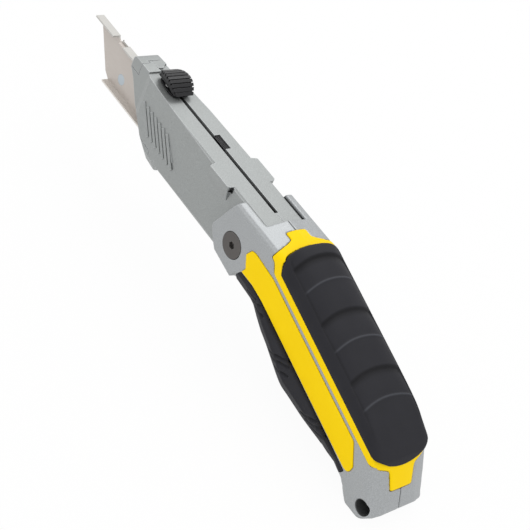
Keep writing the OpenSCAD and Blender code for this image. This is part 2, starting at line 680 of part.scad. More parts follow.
module handle_right_shell() {
    color("silver") place() difference() {
        mirror([0, 1, 0]) handle_half();
        box(-120, 20, -seam, 1, -80, 10);
        rod(pivot_x, -pivot_z, pivot_thread_r + 0.1, -handle_hw + 0.6, 0);
        for (p = screw_at) {
            rod(p[0], p[1], screw_r + 0.1, -20, 1);
            rod(p[0], p[1], screw_head_r + 0.1, -20, -screw_seat);
        }
        lock_pocket();
    }
}

module handle_screws() {
    color("dimgray") place() for (p = screw_at) {
        rod(p[0], p[1], screw_r, -screw_seat, channel_hw - 2.6);
        difference() {
            rod(p[0], p[1], screw_head_r, -screw_seat - screw_head_r, -screw_seat);
            rod(p[0], p[1], screw_head_r/2, -handle_hw, -screw_seat - screw_head_r/2, $fn = 6);
        }
    }
}

module back_ring() { color("gold") place() ring_solid(); }
module back_pad() { color("black") place() pad_solid(); }

module strip() { slab(handle_hw - inlay, handle_hw + proud) strip_outline(); }
module side_strip_left() { color("gold") place() strip(); }
module side_strip_right() { color("gold") place() mirror([0, 1, 0]) strip(); }

module grip() {
    intersection() {
        grip_zone();
        slab(channel_hw, handle_hw) polygon(handle_pts);
        bevel(32, 2);
        bevel(62, 2.5);
    }
}

module belly_grip_left() { color("black") place() grip(); }
module belly_grip_right() {
    color("black") place() difference() {
        mirror([0, 1, 0]) grip();
        lock_pocket();
    }
}

// ---------- pivot ----------
module pivot_screw() {
    color("dimgray") place() difference() {
        union() {
            rod(pivot_x, -pivot_z, pivot_thread_r, -handle_hw + 0.8, handle_hw - 1.8);
            rod(pivot_x, -pivot_z, pivot_head_r, handle_hw - 1.8, handle_hw);
        }
        rod(pivot_x, -pivot_z, 1.5, handle_hw - 1.4, handle_hw + 1, $fn = 6);
    }
}

module pivot_sleeve() {
    color("silver") place() difference() {
        rod(pivot_x, -pivot_z, sleeve_r, -channel_hw, channel_hw);
        rod(pivot_x, -pivot_z, pivot_thread_r + 0.1, -20, 20);
    }
}

module pivot_washers() {
    t = side_gap - 0.1;
    color("tan") place() for (s = [0, 1]) mirrored(s == 1) difference() {
        rod(pivot_x, -pivot_z, sleeve_r + 2.6, channel_hw - t, channel_hw);
        rod(pivot_x, -pivot_z, sleeve_r + 0.05, 0, 20);
    }
}

// ---------- lock ----------
// The leaf and its thumb tongue, along the handle's own back and down from it.
leaf_front = -7.4;
leaf_rear = -0.48*handle_l;
leaf_top = -10;
leaf_low = -18.6;
tongue_front = -12.6;
tongue_rear = -22;

// Pocket in the right wall that the leaf is pressed into, open at the belly for the thumb.
module lock_pocket() {
    in_handle() {
        box(leaf_rear - 0.4, leaf_front + 0.4, -channel_hw - 1.7, -channel_hw + 1, leaf_low - 0.4, leaf_top + 0.4);
        box(tongue_rear - 0.4, tongue_front + 0.4, -channel_hw - 1.7, -channel_hw + 1, -40, leaf_low);
    }
}

module lock_leaf() {
    color("silver") place() in_handle() slab(-channel_hw - 0.9, -channel_hw - 0.1) polygon(rounded([
            [leaf_front, leaf_top, 1], [leaf_front, leaf_low + 2.6, 1], [tongue_front, leaf_low - 0.2, 1],
            [tongue_front - 0.4, leaf_low - 4.4, 1.5], [tongue_rear + 2, leaf_low - 4.4, 2],
            [tongue_rear, leaf_low + 0.6, 2], [leaf_rear + 9.4, leaf_low + 1.6, 2],
            [leaf_rear + 6.4, leaf_low, 2], [leaf_rear, leaf_low, 1.5], [leaf_rear, leaf_top, 1.5],
            [leaf_rear + 6.4, leaf_top, 2], [leaf_rear + 10.4, leaf_top - 1.6, 3]]));
}

nose_left_shell();
nose_right_shell();
nose_screw();
window_insert();
detent_strip();
blade_carrier();
carrier_magnet();
slider_base();
slider_knob();
knob_springs();
detent_pawl();
handle_left_shell();
handle_right_shell();
handle_screws();
back_ring();
back_pad();
side_strip_left();
side_strip_right();
belly_grip_left();
belly_grip_right();
pivot_screw();
pivot_sleeve();
pivot_washers();
lock_leaf();
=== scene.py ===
"""Looks of a folding utility knife: cast silver shells, steel carrier, ribbed thumb knob and soft grips."""

import json
import math

import bmesh
import bpy
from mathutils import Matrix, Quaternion, Vector, kdtree


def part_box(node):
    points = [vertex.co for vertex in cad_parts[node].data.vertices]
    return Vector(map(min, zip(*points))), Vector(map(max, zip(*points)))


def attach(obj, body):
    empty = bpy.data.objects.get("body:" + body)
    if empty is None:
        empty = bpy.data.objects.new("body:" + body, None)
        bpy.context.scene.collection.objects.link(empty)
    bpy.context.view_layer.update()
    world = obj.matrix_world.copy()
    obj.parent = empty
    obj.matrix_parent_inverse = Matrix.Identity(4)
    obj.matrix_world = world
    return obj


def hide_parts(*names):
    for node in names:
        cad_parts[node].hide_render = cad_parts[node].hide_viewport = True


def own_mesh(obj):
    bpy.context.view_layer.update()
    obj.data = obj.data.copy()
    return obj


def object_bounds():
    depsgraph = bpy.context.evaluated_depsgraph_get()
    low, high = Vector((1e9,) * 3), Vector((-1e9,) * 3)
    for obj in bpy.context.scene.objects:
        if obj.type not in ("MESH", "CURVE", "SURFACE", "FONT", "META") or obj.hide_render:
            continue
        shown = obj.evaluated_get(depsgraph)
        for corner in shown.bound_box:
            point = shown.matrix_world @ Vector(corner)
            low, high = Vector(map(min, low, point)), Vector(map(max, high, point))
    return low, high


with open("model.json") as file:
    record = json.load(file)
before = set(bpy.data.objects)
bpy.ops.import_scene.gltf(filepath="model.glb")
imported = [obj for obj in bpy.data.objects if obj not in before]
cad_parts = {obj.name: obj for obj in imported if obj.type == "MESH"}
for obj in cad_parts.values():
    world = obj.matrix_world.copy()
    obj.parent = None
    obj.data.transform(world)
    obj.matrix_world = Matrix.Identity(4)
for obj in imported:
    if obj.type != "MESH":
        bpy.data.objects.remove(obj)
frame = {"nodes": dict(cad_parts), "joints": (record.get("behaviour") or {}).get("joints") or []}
CAD_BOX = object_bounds()

# ---------- places and sizes, in metres ----------
MM = 0.001
BEND = math.radians(16.5)          # the handle hangs down from the nose by this angle
PIVOT = (6.6, -13.9)               # the fold's axis, from the nose's tail end and flat top, in mm
HINGE = -11.0                      # where the handle's straight back starts, in mm

FOLD = next(joint for joint in frame["joints"] if joint["name"] == "fold")
ORIGIN = Vector(FOLD["pos_m"]) - Vector((PIVOT[0], 0, PIVOT[1]))*MM
HALF_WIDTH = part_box("handle_left_shell")[1].y
FLOOR_Z = CAD_BOX[0].z

KNOB_LOW, KNOB_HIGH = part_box("slider_knob")
BASE_LOW, BASE_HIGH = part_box("slider_base")


def at_nose(x, y, z):
    """A point given in mm from the middle of the nose's tail end, at its flat top."""
    return ORIGIN + Vector((x, y, z))*MM


def at_handle(u, y, v):
    """A point given in mm down the handle's back, to the left and out of the back."""
    x = HINGE - u*math.cos(BEND) - v*math.sin(BEND)
    return at_nose(x, y, v*math.cos(BEND) - u*math.sin(BEND))


def in_handle(point):
    """The u, y and v, in mm, of a point in the row frame."""
    x, y, z = (point - ORIGIN)/MM
    x -= HINGE
    return -x*math.cos(BEND) - z*math.sin(BEND), y, z*math.cos(BEND) - x*math.sin(BEND)


# ---------- material nodes ----------
class Finish:
    """A material's node tree, written as short calls."""

    def __init__(self, name):
        self.material = bpy.data.materials.new(name)
        self.material.use_nodes = True
        self.nodes = self.material.node_tree.nodes
        self.links = self.material.node_tree.links
        self.nodes.clear()
        self.output = self.nodes.new("ShaderNodeOutputMaterial")
        self.place = self.nodes.new("ShaderNodeTexCoord").outputs["Object"]

    def add(self, kind, inputs=None, **settings):
        """A new node. An input is a value, or another node's output."""
        node = self.nodes.new(kind)
        for key, value in settings.items():
            setattr(node, key, value)
        for key, value in (inputs or {}).items():
            self.feed(node.inputs[key], value)
        return node

    def feed(self, socket, value):
        if isinstance(value, bpy.types.NodeSocket):
            self.links.new(value, socket)
        else:
            socket.default_value = value

    def noise(self, size, detail=2.0, roughness=0.5, stretch=None):
        """Noise from 0 to 1 whose grains are about size metres wide."""
        place = self.place
        if stretch:
            place = self.add("ShaderNodeMapping", {"Vector": place, "Scale": stretch}).outputs["Vector"]
        node = self.add("ShaderNodeTexNoise", {
            "Vector": place, "Scale": 1/size, "Detail": detail, "Roughness": roughness})
        return node.outputs["Fac"]

    def ramp(self, factor, low, high, start=0.0, end=1.0):
        """Carries a factor from low to high between start and end."""
        node = self.add("ShaderNodeMapRange", {
            "Value": factor, "From Min": start, "From Max": end, "To Min": low, "To Max": high})
        return node.outputs["Result"]

    def math(self, operation, first, second=0.0):
        return self.add("ShaderNodeMath", {0: first, 1: second}, operation=operation).outputs[0]

    def mix(self, factor, first, second):
        """A colour between first and second."""
        node = self.add("ShaderNodeMix", data_type="RGBA")
        self.feed(node.inputs["Factor"], factor)
        self.feed(node.inputs[6], first)
        self.feed(node.inputs[7], second)
        return node.outputs[2]

    def tint(self, colour, place, strength, shade):
        """A colour turned towards a shade, by this strength where place is 1."""
        return self.mix(self.math("MULTIPLY", place, strength), colour, shade)

    def edge_highlight(self, width, keen=0.80):
        """1 on edges and corners that stand out, 0 on flat places and in grooves: the mask for painted
        highlights along edges.
        """
        soft = self.add("ShaderNodeBevel", {"Radius": width}, samples=6).outputs["Normal"]
        sharp = self.add("ShaderNodeNewGeometry").outputs["Normal"]
        likeness = self.add("ShaderNodeVectorMath", {0: soft, 1: sharp}, operation="DOT_PRODUCT")
        turned = self.ramp(likeness.outputs["Value"], 1.0, 0.0, keen, 0.998)
        return self.math("MULTIPLY", turned, self.occlusion_shade(width, 1.0, 0.6, 0.85))

    def occlusion_shade(self, reach, depth, closed=0.15, opened=0.75):
        """1 in the open, falling by depth in seams, grooves and other narrow places: ambient occlusion,
        used for painted shade.
        """
        open_air = self.add("ShaderNodeAmbientOcclusion", {"Distance": reach}, samples=8).outputs["AO"]
        return self.ramp(open_air, 1 - depth, 1.0, closed, opened)

    def attribute(self, name):
        """A number that a mesh carries at its corners, 0 where it has none."""
        return self.add("ShaderNodeAttribute", attribute_name=name).outputs["Fac"]

    def near_axis(self, point, radius):
        """1 within radius of a line across the knife through a point, 0 beyond."""
        flat = self.add("ShaderNodeVectorMath", {0: self.place, 1: (1, 0, 1)}, operation="MULTIPLY")
        gap = self.add("ShaderNodeVectorMath", {
            0: flat.outputs["Vector"], 1: (point.x, 0, point.z)}, operation="DISTANCE")
        return self.ramp(gap.outputs["Value"], 1.0, 0.0, radius, radius + 0.08*MM)

    def seam(self, half_width):
        """1 within half_width metres of the middle plane, 0 beyond: the mask for painted shade along the
        parting line.
        """
        y = self.add("ShaderNodeSeparateXYZ", {"Vector": self.place}).outputs["Y"]
        return self.ramp(self.math("ABSOLUTE", y), 1.0, 0.0, 0.7*half_width, half_width)

    def dim(self, colour, factor):
        """A colour darkened by a factor from 0 to 1."""
        return self.mix(factor, (0.0, 0.0, 0.0, 1), colour)

    def shade(self, colour, roughness, height=None, depth=0.0, edge=0.0, **constants):
        """The finish's shader. Height is a bump's pattern, depth its size and edge a soft edge's radius."""
        shader = self.add("ShaderNodeBsdfPrincipled", {"Base Color": colour, "Roughness": roughness})
        for key, value in constants.items():
            shader.inputs[key.replace("_", " ").title().replace("Ior", "IOR")].default_value = value
        normal = None
        if edge:
            normal = self.add("ShaderNodeBevel", {"Radius": edge}, samples=6).outputs["Normal"]
        if height is not None:
            bump = self.add("ShaderNodeBump", {"Height": height, "Distance": depth, "Strength": 1.0})
            if normal:
                self.links.new(normal, bump.inputs["Normal"])
            normal = bump.outputs["Normal"]
        if normal:
            self.links.new(normal, shader.inputs["Normal"])
        self.links.new(shader.outputs[0], self.output.inputs["Surface"])
        return self.material


def silver_paint(name, tone, groove, seam=0.0, bores=()):
    """Speckled silver paint on die castings, with painted highlights along its edges and painted shade in
    deep gaps, in bores and along the parting line.
    """
    finish = Finish(name)
    speck = finish.noise(0.36*MM, detail=3.0, roughness=0.7)
    cloud = finish.noise(9*MM, detail=2.0)
    dark, light = [tuple(level*t for t in tone) + (1,) for level in (0.270, 0.412)]
    paint = finish.mix(finish.ramp(speck, 0.0, 1.0, 0.32, 0.68), dark, light)
    paint = finish.mix(finish.ramp(cloud, 0.0, 0.2), paint, dark)
    # painted highlight: edges turned lighter
    paint = finish.tint(paint, finish.edge_highlight(0.38*MM, 0.92), 0.5, (0.80, 0.82, 0.84, 1))
    # painted shade in seams and grooves, as strong as groove says
    paint = finish.dim(paint, finish.occlusion_shade(1.0*MM, groove))
    # painted shade deep in gaps and in the slider's slot
    paint = finish.dim(paint, finish.occlusion_shade(5*MM, 0.95, 0.15, 0.49))
    # painted shade inside the holes
    for axis, radius, darkness in bores:
        paint = finish.tint(paint, finish.near_axis(axis, radius), darkness, (0.02, 0.02, 0.02, 1))
    # painted shade in the gap along the parting line
    if seam:
        paint = finish.tint(paint, finish.seam(seam), 0.7, (0.05, 0.05, 0.05, 1))
    roughness = finish.ramp(speck, 0.36, 0.48, 0.3, 0.7)
    return finish.shade(
        paint, roughness, speck, 0.014*MM, edge=0.22*MM, metallic=0.55, specular_ior_level=0.4)


def satin_steel():
    """Bare rolled sheet with a faint grain along its length."""
    finish = Finish("satin_steel")
    grain = finish.noise(0.5*MM, detail=4.0, roughness=0.6, stretch=(0.08, 1.0, 1.6))
    stain = finish.noise(7*MM, detail=3.0)
    colour = finish.mix(grain, (0.49, 0.448, 0.412, 1), (0.60, 0.556, 0.520, 1))
    colour = finish.mix(finish.ramp(stain, 0.0, 0.25), colour, (0.48, 0.428, 0.386, 1))
    z = finish.add("ShaderNodeSeparateXYZ", {"Vector": finish.place}).outputs["Z"]
    top = finish.ramp(z, 0.0, 1.0, ORIGIN.z - 5.6*MM, ORIGIN.z - 5.3*MM)
    bottom_flange_light = finish.ramp(z, 1.0, 0.0, ORIGIN.z - 24.3*MM, ORIGIN.z - 24.0*MM)
    colour = finish.tint(colour, top, 0.8, (0.53, 0.53, 0.508, 1))
    # painted light: the bottom flange made much lighter, for the light that falls on it
    colour = finish.tint(colour, bottom_flange_light, 0.8, (0.78, 0.745, 0.70, 1))
    # painted highlight along edges and folds
    colour = finish.tint(colour, finish.edge_highlight(0.2*MM), 0.5, (0.80, 0.78, 0.75, 1))
    # painted shade in narrow places
    colour = finish.dim(colour, finish.occlusion_shade(0.6*MM, 0.35))
    roughness = finish.ramp(grain, 0.40, 0.56)
    return finish.shade(colour, roughness, grain, 0.006*MM, edge=0.15*MM, metallic=0.3)


def nickel():
    """Bright plating, lightly scuffed."""
    finish = Finish("nickel")
    scuff = finish.noise(0.4*MM, detail=4.0, roughness=0.7)
    colour = finish.mix(scuff, (0.42, 0.475, 0.52, 1), (0.53, 0.59, 0.635, 1))
    return finish.shade(colour, finish.ramp(scuff, 0.32, 0.5), scuff, 0.004*MM, edge=0.1*MM, metallic=0.5)


def dark_steel():
    """Blackened screw steel, with a painted highlight on its edges."""
    finish = Finish("dark_steel")
    grain = finish.noise(0.25*MM, detail=4.0, roughness=0.6)
    colour = finish.mix(grain, (0.075, 0.070, 0.066, 1), (0.130, 0.120, 0.114, 1))
    # painted highlight on the edges
    colour = finish.tint(colour, finish.edge_highlight(0.2*MM), 0.6, (0.27, 0.26, 0.25, 1))
    return finish.shade(colour, finish.ramp(grain, 0.38, 0.55), grain, 0.006*MM, edge=0.15*MM, metallic=0.5)


def spring_steel():
    """Bright steel with fine drawing lines."""
    finish = Finish("spring_steel")
    grain = finish.noise(0.3*MM, detail=3.0, stretch=(0.15, 1.0, 1.0))
    colour = finish.mix(grain, (0.48, 0.48, 0.48, 1), (0.64, 0.64, 0.63, 1))
    return finish.shade(colour, finish.ramp(grain, 0.28, 0.42), grain, 0.004*MM, edge=0.1*MM, metallic=0.85)


def yellow_plastic():
    """Satin moulded plastic with a faint cloudiness and a fine spark texture."""
    finish = Finish("yellow_plastic")
    grain = finish.noise(0.30*MM, detail=2.0)
    cloud = finish.noise(11*MM, detail=2.0)
    colour = finish.mix(cloud, (0.955, 0.640, 0.001, 1), (1.0, 0.705, 0.003, 1))
    # painted highlight: edges turned a lighter yellow
    colour = finish.tint(colour, finish.edge_highlight(0.3*MM), 0.25, (1.0, 0.80, 0.05, 1))
    # painted shade in narrow places
    colour = finish.dim(colour, finish.occlusion_shade(0.9*MM, 0.45))
    return finish.shade(colour, finish.ramp(grain, 0.42, 0.54), grain, 0.010*MM, specular_ior_level=0.08)


def black_rubber():
    """Soft matte moulding with a fine leathery grain, with painted highlights on its edges and raised arcs
    and painted shade on its steps, creases and grooves.
    """
    finish = Finish("black_rubber")
    cell = finish.add("ShaderNodeTexVoronoi", {"Vector": finish.place, "Scale": 1/(0.42*MM)})
    grain = finish.noise(0.22*MM, detail=3.0, roughness=0.6)
    cloud = finish.noise(8*MM, detail=3.0)
    pattern = finish.math("ADD", finish.math("MULTIPLY", cell.outputs["Distance"], 0.5), grain)
    colour = finish.mix(cloud, (0.0150, 0.0150, 0.0190, 1), (0.0215, 0.0215, 0.0268, 1))
    # painted highlight on the edges
    colour = finish.tint(colour, finish.edge_highlight(0.5*MM), 0.25, (0.055, 0.055, 0.062, 1))
    # painted highlight on the pad's raised arcs
    colour = finish.tint(colour, finish.attribute("painted_highlight"), 0.55, (0.085, 0.090, 0.105, 1))
    # painted shade on the pad's steps and creases and in the grips' grooves
    colour = finish.dim(colour, finish.ramp(finish.attribute("painted_shade"), 1.0, 0.42))
    # painted shade in narrow places
    colour = finish.dim(colour, finish.occlusion_shade(1.5*MM, 0.8))
    roughness = finish.ramp(grain, 0.56, 0.70)
    return finish.shade(colour, roughness, pattern, 0.012*MM, specular_ior_level=0.22)


def black_plastic():
    """Glass-filled plastic, with painted highlights along its edges and painted shade between its ribs."""
    finish = Finish("black_plastic")
    grain = finish.noise(0.25*MM, detail=3.0, roughness=0.6)
    cloud = finish.noise(4*MM)
    colour = finish.mix(cloud, (0.0095, 0.0095, 0.0110, 1), (0.0150, 0.0150, 0.0170, 1))
    # painted highlight along the edges
    colour = finish.tint(colour, finish.edge_highlight(0.11*MM), 0.6, (0.20, 0.20, 0.21, 1))
    # painted shade between the ribs and in narrow places
    colour = finish.dim(colour, finish.occlusion_shade(1.6*MM, 0.92, 0.1, 0.7))
    roughness = finish.ramp(grain, 0.28, 0.42)
    return finish.shade(colour, roughness, grain, 0.005*MM, edge=0.10*MM, specular_ior_level=0.32)


LANYARD = (85.5, -17.8)            # u and v of the lanyard hole, mm
SCREW_LOW, SCREW_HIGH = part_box("pivot_screw")
BORE_SHADES = [
    # a point on the axis, radius and strength of the painted shade in each hole that crosses the handle
    (at_handle(LANYARD[0], 0, LANYARD[1]), 2.96*MM, 0.72),
    ((SCREW_LOW + SCREW_HIGH)/2, (SCREW_HIGH.x - SCREW_LOW.x)/2 + 0.16*MM, 0.9)]

SILVER = silver_paint("silver_paint", (0.985, 1.03, 1.02), 0.72)
# the handle's silver has painted shade along its parting line and in its holes
HANDLE_SILVER = silver_paint("handle_silver_paint", (1.14, 1.185, 1.21), 0.75, 0.16*MM, BORE_SHADES)
CARRIER = satin_steel()
MAGNET = nickel()
DARK = dark_steel()
BRIGHT = spring_steel()
YELLOW = yellow_plastic()
RUBBER = black_rubber()
PLASTIC = black_plastic()

CAD_FINISHES = {
    "blade_carrier": CARRIER, "slider_base": PLASTIC, "carrier_magnet": MAGNET, "detent_strip": BRIGHT,
    "detent_pawl": BRIGHT, "window_insert": PLASTIC, "pivot_screw": DARK, "pivot_sleeve": BRIGHT,
    "pivot_washers": BRIGHT, "lock_leaf": BRIGHT}


def coat(piece, material):
    piece.data.materials.clear()
    piece.data.materials.append(material)


# ---------- making pieces ----------
def new_piece(name, mesh):
    piece = bpy.data.objects.new(name, mesh)
    bpy.context.scene.collection.objects.link(piece)
    return piece


def built(work, name):
    """A new piece from a finished bmesh."""
    mesh = bpy.data.meshes.new(name)
    work.to_mesh(mesh)
    work.free()
    return new_piece(name, mesh)


def settle(piece, smooth=True):
    """Turns a piece with its modifiers into a plain mesh."""
    bpy.context.view_layer.update()
    graph = bpy.context.evaluated_depsgraph_get()
    mesh = bpy.data.meshes.new_from_object(piece.evaluated_get(graph))
    piece.modifiers.clear()
    piece.data = mesh
    for polygon in mesh.polygons:
        polygon.use_smooth = smooth
    return piece


def finish_piece(piece, body, slot, material, *nodes):
    """Hands a finished piece to the frame: what it rides on and what it stands for; slot is not used."""
    coat(piece, material)
    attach(piece, body)
    if nodes:
        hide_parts(*nodes)
    return piece


def shade_by_angle(piece, degrees):
    """Smooths the faces that meet at less than this angle."""
    work = bmesh.new()
    work.from_mesh(piece.data)
    bmesh.ops.remove_doubles(work, verts=work.verts, dist=0.001*MM)
    for face in work.faces:
        face.smooth = True
    for edge in work.edges:
        edge.smooth = edge.is_manifold and edge.calc_face_angle(math.pi) < math.radians(degrees)
    work.to_mesh(piece.data)
    work.free()
    return piece


def merged_copy(node, name):
    """A CAD solid's mesh as a new piece with its corners joined up."""
    mesh = frame["nodes"][node].data.copy()
    merged = bmesh.new()
    merged.from_mesh(mesh)
    bmesh.ops.remove_doubles(merged, verts=merged.verts, dist=0.003*MM)
    merged.to_mesh(mesh)
    merged.free()
    return new_piece(name, mesh)


def soft_copy(node, name, cell, rounds, worn=None):
    """A CAD solid as one closed skin of even cells, rounded at its edges and more where worn says so."""
    piece = merged_copy(node, name)
    skin = piece.modifiers.new("Skin", "REMESH")
    skin.mode = "VOXEL"
    skin.voxel_size = cell
    ease = piece.modifiers.new("Ease", "SMOOTH")
    ease.factor = 0.5
    ease.iterations = rounds
    settle(piece)
    if worn:
        group = piece.vertex_groups.new(name="worn")
        for vertex in piece.data.vertices:
            group.add([vertex.index], worn(*in_handle(vertex.co)), "REPLACE")
        ease = piece.modifiers.new("Wear", "SMOOTH")
        ease.factor = 0.5
        ease.iterations = WEAR_ROUNDS
        ease.vertex_group = "worn"
        settle(piece)
    return piece


# ---------- cast shells and plastic trim ----------
PAD_SEAT = -2.2            # where the pad meets the ring, out of the back, mm
PAD_OVERLAP = 0.2          # the ring is let down this far in from the pad's edge, mm
UNDER_END = 70             # the ring isn't let down behind this u
PAD_PLAN = [
    # u and half width round the pad's edge, mm
    (1.5, 0), (1.53, 1.5), (1.65, 3.7), (2.05, 6.3), (2.55, 8.35), (3.0, 9.9), (3.5, 10.9),
    (4.15, 11.75), (5.15, 12.45), (6.5, 12.87), (8.0, 13.0), (72.0, 13.0), (73.6, 12.95),
    (74.7, 12.6), (75.7, 11.8), (76.6, 10.6), (77.6, 8.8), (78.4, 6.6), (78.95, 3.9),
    (79.15, 1.6), (79.2, 0)]
WEAR_ROUNDS = 60
BUTT_END = [(-24.3, 83.0), (-22.1, 88.5), (-16.0, 90.5), (-10.3, 85.3), (-2.8, 77.3)]   # v and u, mm
BUTT_CORNER = 3.2
BUTT_TOP = -8              # its corners are rounded below this, mm


def smooth_step(a, b, x):
    t = max(0.0, min(1.0, (x - a)/(b - a)))
    return t*t*(3 - 2*t)


def along(points, x):
    """The height at x on a line through points (x, height)."""
    for (a, low), (b, high) in zip(points, points[1:]):
        if x <= b:
            return low + (high - low)*(x - a)/(b - a)
    return points[-1][1]


def round_butt(piece):
    """Rounds the corners between the butt's end and its sides."""
    wide = HALF_WIDTH/MM - BUTT_CORNER
    for vertex in piece.data.vertices:
        u, y, v = in_handle(vertex.co)
        long = along(BUTT_END, v) - BUTT_CORNER
        corner = Vector((u - long, abs(y) - wide))
        if corner.x > 0 and corner.y > 0 and corner.length > BUTT_CORNER and v < BUTT_TOP:
            corner *= BUTT_CORNER/corner.length
            vertex.co = at_handle(long + corner.x, math.copysign(wide + corner.y, y), v)


def under_pad(piece):
    """Lets the ring down where the pad lies on it."""
    for vertex in piece.data.vertices:
        u, y, v = in_handle(vertex.co)
        inside = abs(y) < along(PAD_PLAN, u) - PAD_OVERLAP
        if PAD_PLAN[0][0] < u < UNDER_END and inside and v > PAD_SEAT:
            vertex.co = at_handle(u, y, PAD_SEAT)


def ring_wear(u, y, v):
    """Where the ring's front corners are rounded over."""
    front = smooth_step(7, 4, u)*smooth_step(8.5, 10.5, abs(y))
    tab = smooth_step(79, 80.5, u)
    return max(front, tab)


def shell_wear(u, y, v):
    """Where a handle shell is eased: around the lanyard hole."""
    gap = math.hypot(u - LANYARD[0], v - LANYARD[1])
    return smooth_step(8.5, 5.5, gap)*smooth_step(8, 10, abs(y))


WORN = {"back_ring": ring_wear, "handle_left_shell": shell_wear, "handle_right_shell": shell_wear}
MOULDINGS = [
    # node, body, slot, material, cell in mm, rounds of easing
    ("handle_left_shell", "handle", "silver_metal", HANDLE_SILVER, 0.315, 3),
    ("handle_right_shell", "handle", "silver_metal", HANDLE_SILVER, 0.315, 3),
    ("back_ring", "handle", "yellow_plastic", YELLOW, 0.25, 4),
    ("side_strip_left", "handle", "yellow_plastic", YELLOW, 0.20, 6),
    ("side_strip_right", "handle", "yellow_plastic", YELLOW, 0.20, 6)]


def mouldings():
    for node, body, slot, material, cell, rounds in MOULDINGS:
        piece = soft_copy(node, node + "_skin", cell*MM, rounds, WORN.get(node))
        if node == "back_ring":
            under_pad(piece)
        elif node.startswith("handle"):
            round_butt(piece)
        finish_piece(piece, body, slot, material, node)


RIB_CORNER = (81.0, 6.3)   # where the ribs' plane starts, from the nose's tail end and middle, mm
RIB_TURN = math.radians(4.09)
RIB_BANK_X = (45, 81)      # where the source's own ribs lie along and down the nose, mm
RIB_BANK_Z = (-20.3, -9.4)
RIB_PROUD = (0.03, 0.9)    # and how far off their plane they reach
SLOT_CUT = (0.55, 0.65)    # the slot's sides in the source, from the middle, mm
SLOT_HALF = 0.84           # and where they are drawn to
SLOT_FLOOR = -5.5


def flat_sides(piece):
    """Takes the bank of ribs off a nose casting, down to the plane that it stands on."""
    for vertex in piece.data.vertices:
        x, y, z = (vertex.co - ORIGIN)/MM
        side = 1 if y > 0 else -1
        out = (x - RIB_CORNER[0])*math.sin(RIB_TURN) + (side*y - RIB_CORNER[1])*math.cos(RIB_TURN)
        in_bank = RIB_BANK_X[0] < x < RIB_BANK_X[1] and RIB_BANK_Z[0] < z < RIB_BANK_Z[1]
        if in_bank and RIB_PROUD[0] < out < RIB_PROUD[1]:
            vertex.co -= Vector((math.sin(RIB_TURN), side*math.cos(RIB_TURN), 0))*out*MM


def open_slot(piece):
    """Draws the sides of the slider's slot apart to their full width."""
    for vertex in piece.data.vertices:
        _, y, z = (vertex.co - ORIGIN)/MM
        if SLOT_CUT[0] < abs(y) < SLOT_CUT[1] and z > SLOT_FLOOR:
            vertex.co.y = math.copysign(SLOT_HALF*MM, y)


def nose_shells():
    """The two nose castings, with the crisp hooks and seams of their mould."""
    for side in ("left", "right"):
        piece = merged_copy(f"nose_{side}_shell", f"nose_{side}_casting")
        flat_sides(piece)
        open_slot(piece)
        shade_by_angle(piece, 14)
        finish_piece(piece, "nose", "silver_metal", SILVER, f"nose_{side}_shell")


# ---------- belly grips ----------
GROOVES = [
    # u and v at both ends of each groove in the side, mm
    (3.2, -21.7, 7.9, -19.1), (6.4, -22.4, 11.2, -17.8), (9.3, -21.6, 14.6, -18.7),
    (24.2, -24.7, 33.2, -16.5), (26.6, -24.9, 34.3, -18.1), (30.4, -25.4, 36.4, -20.6),
    (48.5, -23.5, 54.4, -17.8), (51.2, -23.2, 57.1, -17.5), (54.4, -22.4, 60.0, -17.5)]
GROOVE_WIDTH = 0.42
GROOVE_DEPTH = 0.60


def groove_share(u, v):
    """How much of a groove there is at a place on the side of the grip, from 0 to 1."""
    place = Vector((u, v))
    share = 0.0
    for u0, v0, u1, v1 in GROOVES:
        start, run = Vector((u0, v0)), Vector((u1 - u0, v1 - v0))
        part = max(0.0, min(1.0, (place - start).dot(run)/run.length_squared))
        gap = (place - start - run*part).length
        share = max(share, math.exp(-(gap/GROOVE_WIDTH)**2))
    return share


GRIP_SWELL = [
    # u, and how far the grip's lower edge stands out there, mm
    (0, 0.2), (8, 0.35), (12, 0.9), (17, 1.4), (22, 1.5), (33, 1.45),
    (40, 1.1), (50, 0.95), (56, 1.3), (60, 1.5), (64, 0.9), (68, 0.0)]


def carry(piece, name, values):
    """Stores a number at each of a mesh's corners for its material to read."""
    layer = piece.data.attributes.new(name, "FLOAT", "POINT")
    layer.data.foreach_set("value", values)


def belly_grips():
    for side, sign in (("left", 1), ("right", -1)):
        piece = soft_copy(f"belly_grip_{side}", f"belly_grip_{side}_soft", 0.24*MM, 4)
        mesh = piece.data
        normals = [vertex.normal.copy() for vertex in mesh.vertices]
        painted_shade = []
        for vertex, normal in zip(mesh.vertices, normals):
            u, y, v = in_handle(vertex.co)
            outside = max(0.0, min(1.0, (sign*y - 11.3)/0.8))
            share = outside*groove_share(u, v)
            facing = smooth_step(0.15, 0.75, normal.dot((0, sign*0.64, -0.77)))
            low = facing*smooth_step(4, 7, sign*y)
            vertex.co += normal*(low*along(GRIP_SWELL, u) - share*GROOVE_DEPTH)*MM
            # painted shade in the grooves
            painted_shade.append(0.75*share)
        carry(piece, "painted_shade", painted_shade)
        finish_piece(piece, "handle", "black_rubber", RUBBER, f"belly_grip_{side}")


